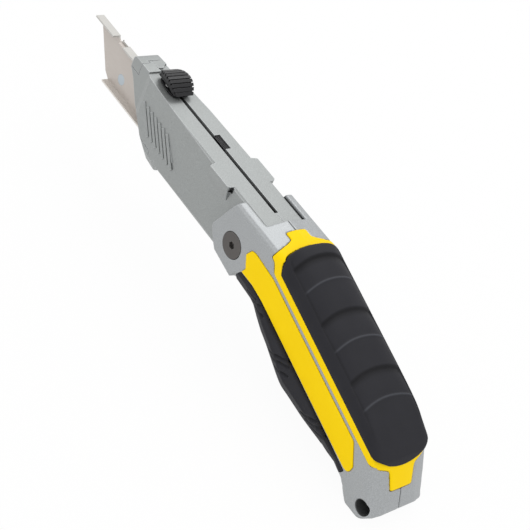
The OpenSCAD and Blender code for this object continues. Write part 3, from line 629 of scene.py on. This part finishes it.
# ---------- back pad ----------
RING_FALL = 77.2          # behind this the ring slopes down under the pad
EDGE_STEPS = (0.0, 0.05, 0.12, 0.22, 0.36, 0.55, 0.8, 1.05, 1.3, 1.55, 1.8, 2.1, 2.5, 3.0, 3.5)
ARC_BOW = 0.017           # how far the arcs run back towards the sides, per mm squared
PAD_STEPS = (6.5, 26.9, 48.1)       # u of each step and each raised arc in the middle, mm
PAD_RIDGES = (15.6, 37.2, 58.1)
PAD_CROWN = [
    # u, and the pad's height along its middle there, mm
    (0.8, 4.2), (3, 4.9), (6.2, 5.7), (16, 5.4), (28, 5.0), (40, 4.55), (50, 3.9),
    (58, 3.0), (66, 1.75), (70, 0.75), (74.5, -0.7), (78, -2.7), (79.2, -3.5)]
PAD_BOW = (6.3, 0.029)    # the pad's greatest height, mm, and its fall to the sides per mm squared


def pad_detail(u, y):
    """The height of the shingled steps and of the thin raised arcs between them, with the painted highlight
    on the arcs and the painted shade on the steps.
    """
    height = painted_highlight = painted_shade = 0.0
    bow = ARC_BOW*y*y
    fade = 1 - smooth_step(10.4, 11.8, abs(y))
    for start in PAD_STEPS:
        d = u - start - bow
        height -= 0.85*smooth_step(-0.5, 0.7, d)*math.exp(-max(0.0, d - 0.7)/4.5)
        # painted shade on the wall of each step
        painted_shade = max(painted_shade, smooth_step(-0.8, 0.3, d)*smooth_step(3.2, 0.3, d))
    for start in PAD_RIDGES:
        d = u - start - bow
        height += 0.32*math.exp(-(d/0.34)**2)
        # painted highlight along each raised arc
        painted_highlight = max(painted_highlight, math.exp(-(d/0.30)**2))
    return height*fade, painted_highlight*fade, painted_shade*fade


def pad_seat(u):
    return PAD_SEAT - 0.95*max(0.0, u - RING_FALL)


def soft_lesser(a, b, blend):
    """The smaller of two heights, eased where they meet."""
    h = max(0.0, blend - abs(a - b))/blend
    return min(a, b) - h*h*blend/4


def pad_surface(u, y, depth):
    """The height out of the back, painted highlight and painted shade at depth mm in from the pad's edge.
    """
    height, painted_highlight, painted_shade = pad_detail(u, y)
    crown = soft_lesser(along(PAD_CROWN, u), PAD_BOW[0] - PAD_BOW[1]*y*y, 1.6)
    rise = min(1.0, depth/(0.8 + 0.9*smooth_step(4, 9, u) + 2.6*smooth_step(62, 74, u)))
    wall = (1 - (1 - rise)**2.4)**(1/2.4)
    groove = math.exp(-((depth - 1.9)/0.34)**2)
    groove *= (1 - smooth_step(60, 72, u))*smooth_step(4, 7, u)
    level = max(crown + height - 0.24*groove, pad_seat(u) + 0.4)
    # painted shade also in the crease along the edge
    return pad_seat(u) + (level - pad_seat(u))*wall, painted_highlight, max(painted_shade, 0.55*groove)


def pad_plan():
    """Points of the left half of the pad's plan, closely spaced from its front end to its rear end."""
    points = []
    for a, b in zip(PAD_PLAN, PAD_PLAN[1:]):
        start, end = Vector(a), Vector(b)
        count = max(1, int((end - start).length/0.12))
        points += [start.lerp(end, k/count) for k in range(count)]
    return points + [Vector(PAD_PLAN[-1])]


def back_pad():
    """A crowned pad: a net over its plan, closer at its edges, with walls down to the ring."""
    plan = pad_plan()
    edge = kdtree.KDTree(2*len(plan))
    for i, point in enumerate(plan):
        edge.insert((point.x, point.y, 0), 2*i)
        edge.insert((point.x, -point.y, 0), 2*i + 1)
    edge.balance()
    front, rear = PAD_PLAN[0][0], PAD_PLAN[-1][0]
    inner_length = rear - front - 2*EDGE_STEPS[-1]
    middle = int(inner_length/0.26)
    stations = [front + e for e in EDGE_STEPS]
    stations += [front + EDGE_STEPS[-1] + inner_length*k/middle for k in range(1, middle)]
    stations += [rear - e for e in reversed(EDGE_STEPS)]
    columns = 60
    mesh = bmesh.new()
    # layers for the painted highlight and painted shade that the rubber reads
    highlight_layer = mesh.verts.layers.float.new("painted_highlight")
    shade_layer = mesh.verts.layers.float.new("painted_shade")
    rows = []
    for u in stations:
        half = max(0.8, along(PAD_PLAN, u))
        reach = half/(HALF_WIDTH/MM)
        inner = half - EDGE_STEPS[-1]*reach
        across = [half - e*reach for e in EDGE_STEPS]
        across += [inner*(1 - 2*k/columns) for k in range(1, columns)]
        across += [-half + e*reach for e in reversed(EDGE_STEPS)]
        row = []
        for y in across:
            depth = max(0.0, edge.find((u, y, 0))[2] - 0.02)
            v, painted_highlight, painted_shade = pad_surface(u, y, depth)
            vertex = mesh.verts.new(at_handle(u, y, v))
            vertex[highlight_layer] = painted_highlight
            vertex[shade_layer] = painted_shade
            row.append(vertex)
        rows.append((u, across, row))
    for (_, _, first), (_, _, second) in zip(rows, rows[1:]):
        for i in range(len(first) - 1):
            mesh.faces.new((first[i], first[i + 1], second[i + 1], second[i]))
    rim = [(rows[0][0], y, v) for y, v in zip(rows[0][1], rows[0][2])]
    rim += [(u, across[-1], row[-1]) for u, across, row in rows[1:]]
    rim += [(rows[-1][0], y, v) for y, v in reversed(list(zip(rows[-1][1], rows[-1][2]))[:-1])]
    rim += [(u, across[0], row[0]) for u, across, row in reversed(rows[1:-1])]
    foot = [mesh.verts.new(at_handle(u, y, pad_seat(u) - 0.05)) for u, y, _ in rim]
    for i in range(len(rim)):
        j = (i + 1) % len(rim)
        mesh.faces.new((rim[i][2], rim[j][2], foot[j], foot[i]))
    mesh.faces.new(foot)
    bmesh.ops.remove_doubles(mesh, verts=mesh.verts, dist=0.004*MM)
    bmesh.ops.recalc_face_normals(mesh, faces=mesh.faces)
    piece = built(mesh, "back_pad_soft")
    ease = piece.modifiers.new("Ease", "SMOOTH")
    ease.factor = 0.5
    ease.iterations = 1
    settle(piece)
    finish_piece(piece, "handle", "black_rubber", RUBBER, "back_pad")


# ---------- geometry node trees ----------
class Tree:
    """A geometry node tree with named inputs, written as short calls."""

    def __init__(self, name, sizes):
        self.group = bpy.data.node_groups.new(name, "GeometryNodeTree")
        face = self.group.interface
        face.new_socket("Geometry", in_out="INPUT", socket_type="NodeSocketGeometry")
        self.keys = {}
        for label, value in sizes.items():
            kind = "NodeSocketInt" if isinstance(value, int) else "NodeSocketFloat"
            socket = face.new_socket(label, in_out="INPUT", socket_type=kind)
            socket.default_value = value
            self.keys[label] = socket.identifier
        socket = face.new_socket("Material", in_out="INPUT", socket_type="NodeSocketMaterial")
        self.keys["Material"] = socket.identifier
        face.new_socket("Geometry", in_out="OUTPUT", socket_type="NodeSocketGeometry")
        self.input = self.group.nodes.new("NodeGroupInput")

    def size(self, label):
        return self.input.outputs[label]

    def add(self, kind, inputs=None, **settings):
        node = self.group.nodes.new("GeometryNode" + kind if not kind.startswith("Shader") else kind)
        for key, value in settings.items():
            setattr(node, key, value)
        for key, value in (inputs or {}).items():
            if isinstance(value, bpy.types.NodeSocket):
                self.group.links.new(value, node.inputs[key])
            else:
                node.inputs[key].default_value = value
        return node

    def math(self, operation, first, second=0.0):
        return self.add("ShaderNodeMath", {0: first, 1: second}, operation=operation).outputs[0]

    def vector(self, x=0.0, y=0.0, z=0.0):
        return self.add("ShaderNodeCombineXYZ", {"X": x, "Y": y, "Z": z}).outputs[0]

    def join(self, *parts):
        node = self.add("JoinGeometry")
        for part in parts:
            self.group.links.new(part, node.inputs[0])
        return node.outputs[0]

    def finish(self, geometry):
        real = self.add("RealizeInstances", {"Geometry": geometry}).outputs[0]
        coated = self.add("SetMaterial", {"Geometry": real, "Material": self.size("Material")}).outputs[0]
        out = self.group.nodes.new("NodeGroupOutput")
        self.group.links.new(coated, out.inputs[0])

    def grow(self, name, points, material, **sizes):
        """A piece made by this tree at the given points, as a plain mesh."""
        mesh = bpy.data.meshes.new(name)
        mesh.from_pydata([tuple(point) for point in points], [], [])
        piece = new_piece(name, mesh)
        modifier = piece.modifiers.new("Tree", "NODES")
        modifier.node_group = self.group
        for label, value in sizes.items():
            modifier[self.keys[label.replace("_", " ").title()]] = value
        modifier[self.keys["Material"]] = material
        return settle(piece, smooth=False)


SPRING_WIRE = 0.15*MM      # radius of the wire
SPRING_TURNS = 4.5


def spring_tree():
    """Round wire coils standing on each point."""
    tree = Tree("compression_springs", {
        "Coil Radius": 0.9*MM, "Wire Radius": SPRING_WIRE, "Height": 2.6*MM, "Turns": SPRING_TURNS})
    coil = tree.add("CurveSpiral", {
        "Resolution": 28, "Rotations": tree.size("Turns"), "Start Radius": tree.size("Coil Radius"),
        "End Radius": tree.size("Coil Radius"), "Height": tree.size("Height")}).outputs[0]
    wire = tree.add("CurvePrimitiveCircle", {
        "Resolution": 10, "Radius": tree.size("Wire Radius")}).outputs[0]
    solid = tree.add("CurveToMesh", {"Curve": coil, "Profile Curve": wire, "Fill Caps": True}).outputs[0]
    seats = tree.add("MeshToPoints", {"Mesh": tree.size("Geometry")}).outputs[0]
    tree.finish(tree.add("InstanceOnPoints", {"Points": seats, "Instance": solid}).outputs[0])
    return tree


def springs():
    """The two springs that push the thumb knob up."""
    low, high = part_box("knob_springs")
    radius = (high.x - low.x)/2
    ends = (low.y + radius, high.y - radius)
    seats = [Vector((low.x + radius, y, low.z + SPRING_WIRE)) for y in ends]
    piece = spring_tree().grow(
        "knob_springs_coiled", seats, BRIGHT, coil_radius=radius - SPRING_WIRE, wire_radius=SPRING_WIRE,
        height=high.z - low.z - 2*SPRING_WIRE, turns=SPRING_TURNS)
    shade_by_angle(piece, 50)
    finish_piece(piece, "carriage", "spring_steel", BRIGHT, "knob_springs")
    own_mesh(piece)


SHANK_R = 0.9*MM
HEAD_R = 1.4*MM
SOCKET_R = 0.7*MM
SHELL_SEAT = -9.6*MM       # y of the heads' seats
NOSE_SEAT = -5.5*MM
SHELL_SCREWS = ((81.0, -12.6), (14.0, -4.3), (60.0, -4.3))     # u and v of the handle's screws, mm


def screw_tree():
    """Socket screws whose heads sit on each point and face the right side, -Y."""
    tree = Tree("socket_screws", {
        "Shank Radius": SHANK_R, "Shank Length": 16*MM, "Head Radius": HEAD_R, "Head Height": 1.4*MM,
        "Socket Radius": SOCKET_R, "Socket Depth": 0.8*MM})
    head = tree.size("Head Height")
    lip = tree.math("MULTIPLY", tree.size("Head Radius"), 0.16)
    wall = tree.math("SUBTRACT", head, lip)
    drum = tree.add("MeshCylinder", {
        "Vertices": 40, "Radius": tree.size("Head Radius"), "Depth": wall}).outputs[0]
    drum = tree.add("Transform", {
        "Geometry": drum, "Translation": tree.vector(z=tree.math("MULTIPLY", wall, 0.5))}).outputs[0]
    crown = tree.add("MeshCone", {
        "Vertices": 40, "Depth": lip, "Radius Bottom": tree.size("Head Radius"),
        "Radius Top": tree.math("SUBTRACT", tree.size("Head Radius"), lip)}).outputs[0]
    crown = tree.add("Transform", {"Geometry": crown, "Translation": tree.vector(z=wall)}).outputs[0]
    shank = tree.add("MeshCylinder", {
        "Vertices": 24, "Radius": tree.size("Shank Radius"), "Depth": tree.size("Shank Length")}).outputs[0]
    drop = tree.math("MULTIPLY", tree.size("Shank Length"), -0.5)
    shank = tree.add("Transform", {"Geometry": shank, "Translation": tree.vector(z=drop)}).outputs[0]
    socket = tree.add("MeshCylinder", {
        "Vertices": 6, "Radius": tree.size("Socket Radius"),
        "Depth": tree.math("MULTIPLY", tree.size("Socket Depth"), 2.0)}).outputs[0]
    socket = tree.add("Transform", {"Geometry": socket, "Translation": tree.vector(z=head)}).outputs[0]
    solid = tree.add("MeshBoolean", {0: tree.join(drum, crown)}, operation="UNION", solver="EXACT")
    tree.group.links.new(shank, solid.inputs[1])
    cut = tree.add("MeshBoolean", {0: solid.outputs[0], 1: socket}, operation="DIFFERENCE", solver="EXACT")
    seats = tree.add("MeshToPoints", {"Mesh": tree.size("Geometry")}).outputs[0]
    tree.finish(tree.add("InstanceOnPoints", {
        "Points": seats, "Instance": cut.outputs[0], "Rotation": (math.pi/2, 0.0, 0.0)}).outputs[0])
    return tree


def grow_screws(tree, name, seats, low, high, socket_depth):
    """Screws with their heads on these seats, reaching to both sides of the box from low to high."""
    seat_y = seats[0].y
    piece = tree.grow(
        name, seats, DARK, shank_radius=SHANK_R, shank_length=high.y - seat_y, head_radius=HEAD_R,
        head_height=seat_y - low.y, socket_radius=SOCKET_R, socket_depth=socket_depth)
    return shade_by_angle(piece, 35)


def screws():
    """The handle's three shell screws and the nose's one."""
    tree = screw_tree()
    low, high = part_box("handle_screws")
    middles = [at_handle(u, 0, v) for u, v in SHELL_SCREWS]
    seats = [Vector((middle.x, SHELL_SEAT, middle.z)) for middle in middles]
    piece = grow_screws(tree, "handle_screws_socket", seats, low, high, 0.7*MM)
    finish_piece(piece, "handle", "dark_steel", DARK, "handle_screws")

    low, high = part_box("nose_screw")
    seat = Vector(((low.x + high.x)/2, NOSE_SEAT, (low.z + high.z)/2))
    piece = grow_screws(tree, "nose_screw_socket", [seat], low, high, 0.6*MM)
    finish_piece(piece, "nose", "dark_steel", DARK, "nose_screw")


# ---------- thumb knob ----------
KNOB_R = 9.1*MM
KNOB_RIBS = 9
KNOB_FIRST = 55.5         # degrees up from the front end to the first rib
KNOB_STEP = 10.8
RIB_HEIGHT = 0.95*MM
RIB_ROOT = 0.3*MM         # how far each rib reaches into the wheel
KNOB_WIDEST = 2.4         # how far behind its middle the knob is widest, mm
KNOB_BOW_FRONT = 0.026    # how its sides draw in from there, per mm squared
KNOB_BOW_REAR = 0.048


def knob_half(x, hub, half):
    """Half the knob's width at x: it is barrel-shaped, widest a little behind its middle."""
    d = (x - hub.x)/MM + KNOB_WIDEST
    return half - (KNOB_BOW_FRONT if d > 0 else KNOB_BOW_REAR)*d*d*MM


def rib_tree():
    """Tapered bars laid across a wheel's rim, one at each step."""
    tree = Tree("knob_ribs", {
        "Wheel Radius": KNOB_R, "Half Width": 4.6*MM, "Rib Count": KNOB_RIBS, "Rib Height": RIB_HEIGHT,
        "Foot Width": 1.30*MM, "Top Width": 0.50*MM, "First Angle": math.radians(KNOB_FIRST),
        "Step Angle": math.radians(KNOB_STEP)})
    height = tree.math("ADD", tree.size("Rib Height"), RIB_ROOT)
    profile = tree.add("CurvePrimitiveQuadrilateral", {
        "Bottom Width": tree.size("Foot Width"), "Top Width": tree.size("Top Width"), "Offset": 0.0,
        "Height": height}, mode="TRAPEZOID").outputs[0]
    path = tree.add("CurvePrimitiveLine", {
        "Start": tree.vector(y=tree.math("MULTIPLY", tree.size("Half Width"), -1.0)),
        "End": tree.vector(y=tree.size("Half Width"))}).outputs[0]
    path = tree.add("ResampleCurve", {"Curve": path, "Count": 24}).outputs[0]
    along = tree.add("SplineParameter").outputs["Factor"]
    inward = tree.math("MINIMUM", along, tree.math("SUBTRACT", 1.0, along))
    taper = tree.math("MINIMUM", tree.math("ADD", tree.math("MULTIPLY", inward, 8.0), 0.72), 1.0)
    path = tree.add("SetCurveRadius", {"Curve": path, "Radius": taper}).outputs[0]
    bar = tree.add("CurveToMesh", {"Curve": path, "Profile Curve": profile, "Fill Caps": True}).outputs[0]
    radius = tree.math("SUBTRACT", tree.size("Wheel Radius"), tree.math("MULTIPLY", height, 0.5))
    bar = tree.add("Transform", {"Geometry": bar, "Translation": tree.vector(z=radius)}).outputs[0]
    row = tree.add("MeshLine", {"Count": tree.size("Rib Count"), "Offset": (0.0, 0.0, 0.0)}).outputs[0]
    turn = tree.math("ADD", tree.size("First Angle"), tree.math(
        "MULTIPLY", tree.add("InputIndex").outputs[0], tree.size("Step Angle")))
    tilt = tree.vector(y=tree.math("SUBTRACT", math.pi/2, turn))
    ring = tree.add("InstanceOnPoints", {"Points": row, "Instance": bar, "Rotation": tilt}).outputs[0]
    hub = tree.add("MeshToPoints", {"Mesh": tree.size("Geometry")}).outputs[0]
    tree.finish(tree.add("InstanceOnPoints", {"Points": hub, "Instance": ring}).outputs[0])
    return tree


def knob_core(hub, half, foot):
    """The wheel's sector under the ribs, with eased side edges and slightly hollow sides."""
    work = bmesh.new()
    inner = KNOB_R - RIB_HEIGHT
    lowest = math.degrees(math.asin((foot - hub.z)/inner))
    angles = [math.radians(lowest + (180 - 2*lowest)*k/60) for k in range(61)]
    loops = []
    for inset, drop in ((0.40, 2.3), (0.30, 1.5), (0.06, 1.1), (0.0, 0.45), (0.12, 0.12), (0.45, 0.0)):
        loops.append((-1, inset*MM, inner - drop*MM))
    loops += [(1, inset, radius) for _, inset, radius in reversed(loops)]
    rings = []
    for sign, inset, radius in loops:
        ring = []
        for a in angles:
            x = hub.x + radius*math.cos(a)
            z = max(foot + (inner - radius)*0.5, hub.z + radius*math.sin(a))
            ring.append(work.verts.new((x, sign*(knob_half(x, hub, half) - inset), z)))
        rings.append(ring)
    for a, b in zip(rings, rings[1:]):
        for i in range(len(angles) - 1):
            work.faces.new((a[i], a[i + 1], b[i + 1], b[i]))
        work.faces.new((a[-1], a[0], b[0], b[-1]))
    work.faces.new(list(reversed(rings[0])))
    work.faces.new(rings[-1])
    bmesh.ops.remove_doubles(work, verts=work.verts, dist=0.002*MM)
    bmesh.ops.recalc_face_normals(work, faces=work.faces)
    return built(work, "knob_core")


def prism(outline, low, high):
    """An upright solid over an outline of x and y."""
    work = bmesh.new()
    foot = [work.verts.new((x, y, low)) for x, y in outline]
    top = [work.verts.new((x, y, high)) for x, y in outline]
    work.faces.new(list(reversed(foot)))
    work.faces.new(top)
    for i in range(len(outline)):
        j = (i + 1) % len(outline)
        work.faces.new((foot[i], foot[j], top[j], top[i]))
    bmesh.ops.recalc_face_normals(work, faces=work.faces)
    return built(work, "prism")


def hollow_knob(core, hub, half):
    """Cuts the room under the knob: for the slider's base, the carrier's tab and the two springs."""
    foot = KNOB_LOW.z - 1*MM
    reach = (BASE_HIGH.x - BASE_LOW.x)/2 + 0.2*MM
    xs = [hub.x + reach*(2*i/14 - 1) for i in range(15)]
    side = [(x, knob_half(x, hub, half) - 0.9*MM) for x in xs]
    room = side + [(x, -y) for x, y in reversed(side)]
    wide, long = 0.55*MM, 1.75*MM
    tab = [(hub.x + sx*long, sy*wide) for sx, sy in ((-1, -1), (1, -1), (1, 1), (-1, 1))]
    low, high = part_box("knob_springs")
    well = (high.x - low.x)/2 + 0.2*MM
    carrier_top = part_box("blade_carrier")[1].z
    cutters = [prism(room, foot, BASE_HIGH.z + 1.4*MM), prism(tab, foot, carrier_top + 1.4*MM)]
    turns = [k*math.pi/14 for k in range(28)]
    for y in (low.y - low.x + hub.x, high.y + low.x - hub.x):
        circle = [(hub.x + well*math.cos(a), y + well*math.sin(a)) for a in turns]
        cutters.append(prism(circle, foot, high.z + 0.05*MM))
    for cutter in cutters:
        cut = core.modifiers.new("Room", "BOOLEAN")
        cut.operation = "DIFFERENCE"
        cut.solver = "EXACT"
        cut.object = cutter
    settle(core, smooth=False)
    for cutter in cutters:
        bpy.data.objects.remove(cutter)
    return core


def joined(pieces, name):
    """Several plain pieces as one."""
    work = bmesh.new()
    for piece in pieces:
        work.from_mesh(piece.data)
        bpy.data.objects.remove(piece)
    return built(work, name)


def thumb_knob():
    half = (KNOB_HIGH.y - KNOB_LOW.y)/2
    hub = Vector(((KNOB_LOW.x + KNOB_HIGH.x)/2, 0, KNOB_HIGH.z - KNOB_R))
    ribs = rib_tree().grow("knob_rib_row", [hub], PLASTIC, wheel_radius=KNOB_R, half_width=half)
    for vertex in ribs.data.vertices:
        vertex.co.y *= knob_half(vertex.co.x, hub, half)/half
        vertex.co.z = max(vertex.co.z, KNOB_LOW.z + 0.05*MM)
    core = hollow_knob(knob_core(hub, half, KNOB_LOW.z), hub, half)
    piece = joined([core, ribs], "slider_knob_ribbed")
    shade_by_angle(piece, 28)
    finish_piece(piece, "button", "black_plastic", PLASTIC, "slider_knob")


# ---------- grip ribs on the nose ----------
RIB_TOP = -9.7             # the ends of the ribs, down from the nose's flat top, mm
RIB_LOW = -19.3
RIB_SLANT = 9.1            # how far back each one runs on its way down
RIB_PITCH = 3.13
RIB_BARS = 7
RIB_FIRST = 79.5           # the top of the first rib, from the nose's tail end


def side_rib_tree():
    """A bank of slanted bars with rounded backs that run out at their lower ends."""
    tree = Tree("side_ribs", {
        "Rib Count": RIB_BARS, "Pitch": RIB_PITCH*MM, "Slant": RIB_SLANT*MM, "Drop": (RIB_TOP - RIB_LOW)*MM,
        "Width": 1.66*MM, "Height": 0.5*MM})
    row = tree.add("MeshLine", {
        "Count": tree.size("Rib Count"),
        "Offset": tree.vector(x=tree.math("MULTIPLY", tree.size("Pitch"), -1.0))}).outputs[0]
    path = tree.add("CurvePrimitiveLine", {
        "Start": (0.0, 0.0, 0.0),
        "End": tree.vector(x=tree.math("MULTIPLY", tree.size("Slant"), -1.0),
                           z=tree.math("MULTIPLY", tree.size("Drop"), -1.0))}).outputs[0]
    path = tree.add("ResampleCurve", {"Curve": path, "Count": 48}).outputs[0]
    factor = tree.add("SplineParameter").outputs["Factor"]
    inward = tree.math("MINIMUM", tree.math("MULTIPLY", factor, 2.0), tree.math("SUBTRACT", 1.0, factor))
    taper = tree.math("MINIMUM", tree.math("ADD", tree.math("MULTIPLY", inward, 7.0), 0.25), 1.0)
    path = tree.add("SetCurveRadius", {"Curve": path, "Radius": taper}).outputs[0]
    path = tree.add("SetCurveNormal", {"Curve": path}, mode="Z_UP").outputs[0]
    outline = tree.add("CurvePrimitiveQuadrilateral", {
        "Width": tree.math("MULTIPLY", tree.size("Height"), 2.0), "Height": tree.size("Width")}).outputs[0]
    outline = tree.add("FilletCurve", {
        "Curve": outline, "Count": 5, "Radius": tree.math("MULTIPLY", tree.size("Height"), 0.9)},
        mode="POLY").outputs[0]
    bar = tree.add("CurveToMesh", {"Curve": path, "Profile Curve": outline, "Fill Caps": True}).outputs[0]
    bars = tree.add("InstanceOnPoints", {"Points": row, "Instance": bar}).outputs[0]
    seat = tree.add("MeshToPoints", {"Mesh": tree.size("Geometry")}).outputs[0]
    tree.finish(tree.add("InstanceOnPoints", {"Points": seat, "Instance": bars}).outputs[0])
    return tree


def side_ribs():
    """The bank of grip ribs on each side of the nose."""
    bank = side_rib_tree().grow("side_rib_bank", [(0, 0, 0)], SILVER)
    work = bmesh.new()
    for sign in (1, -1):
        before = len(work.verts)
        work.from_mesh(bank.data)
        work.verts.ensure_lookup_table()
        for vertex in work.verts[before:]:
            x, y, z = vertex.co/MM
            x += RIB_FIRST - RIB_CORNER[0]
            turned_x = RIB_CORNER[0] + x*math.cos(RIB_TURN) + y*math.sin(RIB_TURN)
            turned_y = RIB_CORNER[1] - x*math.sin(RIB_TURN) + y*math.cos(RIB_TURN)
            vertex.co = at_nose(turned_x, sign*turned_y, z + RIB_TOP)
    bmesh.ops.recalc_face_normals(work, faces=work.faces)
    bpy.data.objects.remove(bank)
    piece = shade_by_angle(built(work, "nose_grip_ribs"), 40)
    finish_piece(piece, "nose", "silver_metal", SILVER)


# ---------- surroundings ----------
def pale_floor():
    """A wide pale floor that shows white and keeps a faint shadow."""
    finish = Finish("pale_floor")
    cloud = finish.noise(0.4)
    matte = finish.add("ShaderNodeBsdfDiffuse", {
        "Color": finish.mix(cloud, (0.82, 0.82, 0.82, 1), (0.86, 0.86, 0.86, 1))}).outputs[0]
    glow = finish.add("ShaderNodeEmission", {"Color": (1, 1, 1, 1), "Strength": 1.0}).outputs[0]
    path = finish.add("ShaderNodeLightPath").outputs
    seen = finish.math("MAXIMUM", path["Is Camera Ray"], path["Is Transmission Ray"])
    seen = finish.math("MAXIMUM", seen, path["Is Glossy Ray"])
    share = finish.math("MULTIPLY", seen, 0.95)
    blend = finish.add("ShaderNodeMixShader", {"Fac": share}).inputs
    finish.links.new(matte, blend[1])
    finish.links.new(glow, blend[2])
    finish.links.new(blend[0].node.outputs[0], finish.output.inputs["Surface"])
    reach = 4.0
    mesh = bpy.data.meshes.new("floor")
    corners = [(sx*reach, sy*reach, FLOOR_Z) for sx, sy in ((-1, -1), (1, -1), (1, 1), (-1, 1))]
    mesh.from_pydata(corners, [], [(0, 1, 2, 3)])
    floor = new_piece("floor", mesh)
    coat(floor, finish.material)


def lamp(name, place, aim, size, power):
    data = bpy.data.lights.new(name, "AREA")
    data.shape = "DISK"
    data.size = size
    data.energy = power
    light = bpy.data.objects.new(name, data)
    light.location = place
    light.rotation_mode = "QUATERNION"
    light.rotation_quaternion = (Vector(aim) - Vector(place)).to_track_quat("-Z", "Y")
    bpy.context.scene.collection.objects.link(light)


def studio():
    world = bpy.data.worlds.new("soft_room")
    bpy.context.scene.world = world
    world.use_nodes = True
    back = world.node_tree.nodes["Background"]
    back.inputs["Color"].default_value = (1, 1, 1, 1)
    back.inputs["Strength"].default_value = 1.0
    middle = (CAD_BOX[0] + CAD_BOX[1])/2
    lamp("overhead_box", middle + Vector((0.47, -0.41, 0.78)), middle, 0.5, 1.7)
    lamp("side_box", middle + Vector((0.47, 0.53, 0.70)), middle, 0.16, 0.25)


def camera():
    data = bpy.data.cameras.new("camera")
    data.lens = 80.4
    data.sensor_width = 36.0
    data.clip_start = 0.01
    data.clip_end = 50.0
    eye = at_nose(-196.2, 262.2, 235.2)
    target = at_nose(-0.3, 0.0, -19.8)
    roll = math.radians(26.87)
    view = bpy.data.objects.new("camera", data)
    view.location = eye
    view.rotation_mode = "QUATERNION"
    view.rotation_quaternion = (target - eye).to_track_quat("-Z", "Y") @ Quaternion((0, 0, 1), roll)
    bpy.context.scene.collection.objects.link(view)
    bpy.context.scene.camera = view


camera()
for node, material in CAD_FINISHES.items():
    coat(frame["nodes"][node], material)
mouldings()
nose_shells()
side_ribs()
belly_grips()
back_pad()
springs()
screws()
thumb_knob()
pale_floor()
studio()
bpy.context.scene.view_settings.view_transform = "Standard"
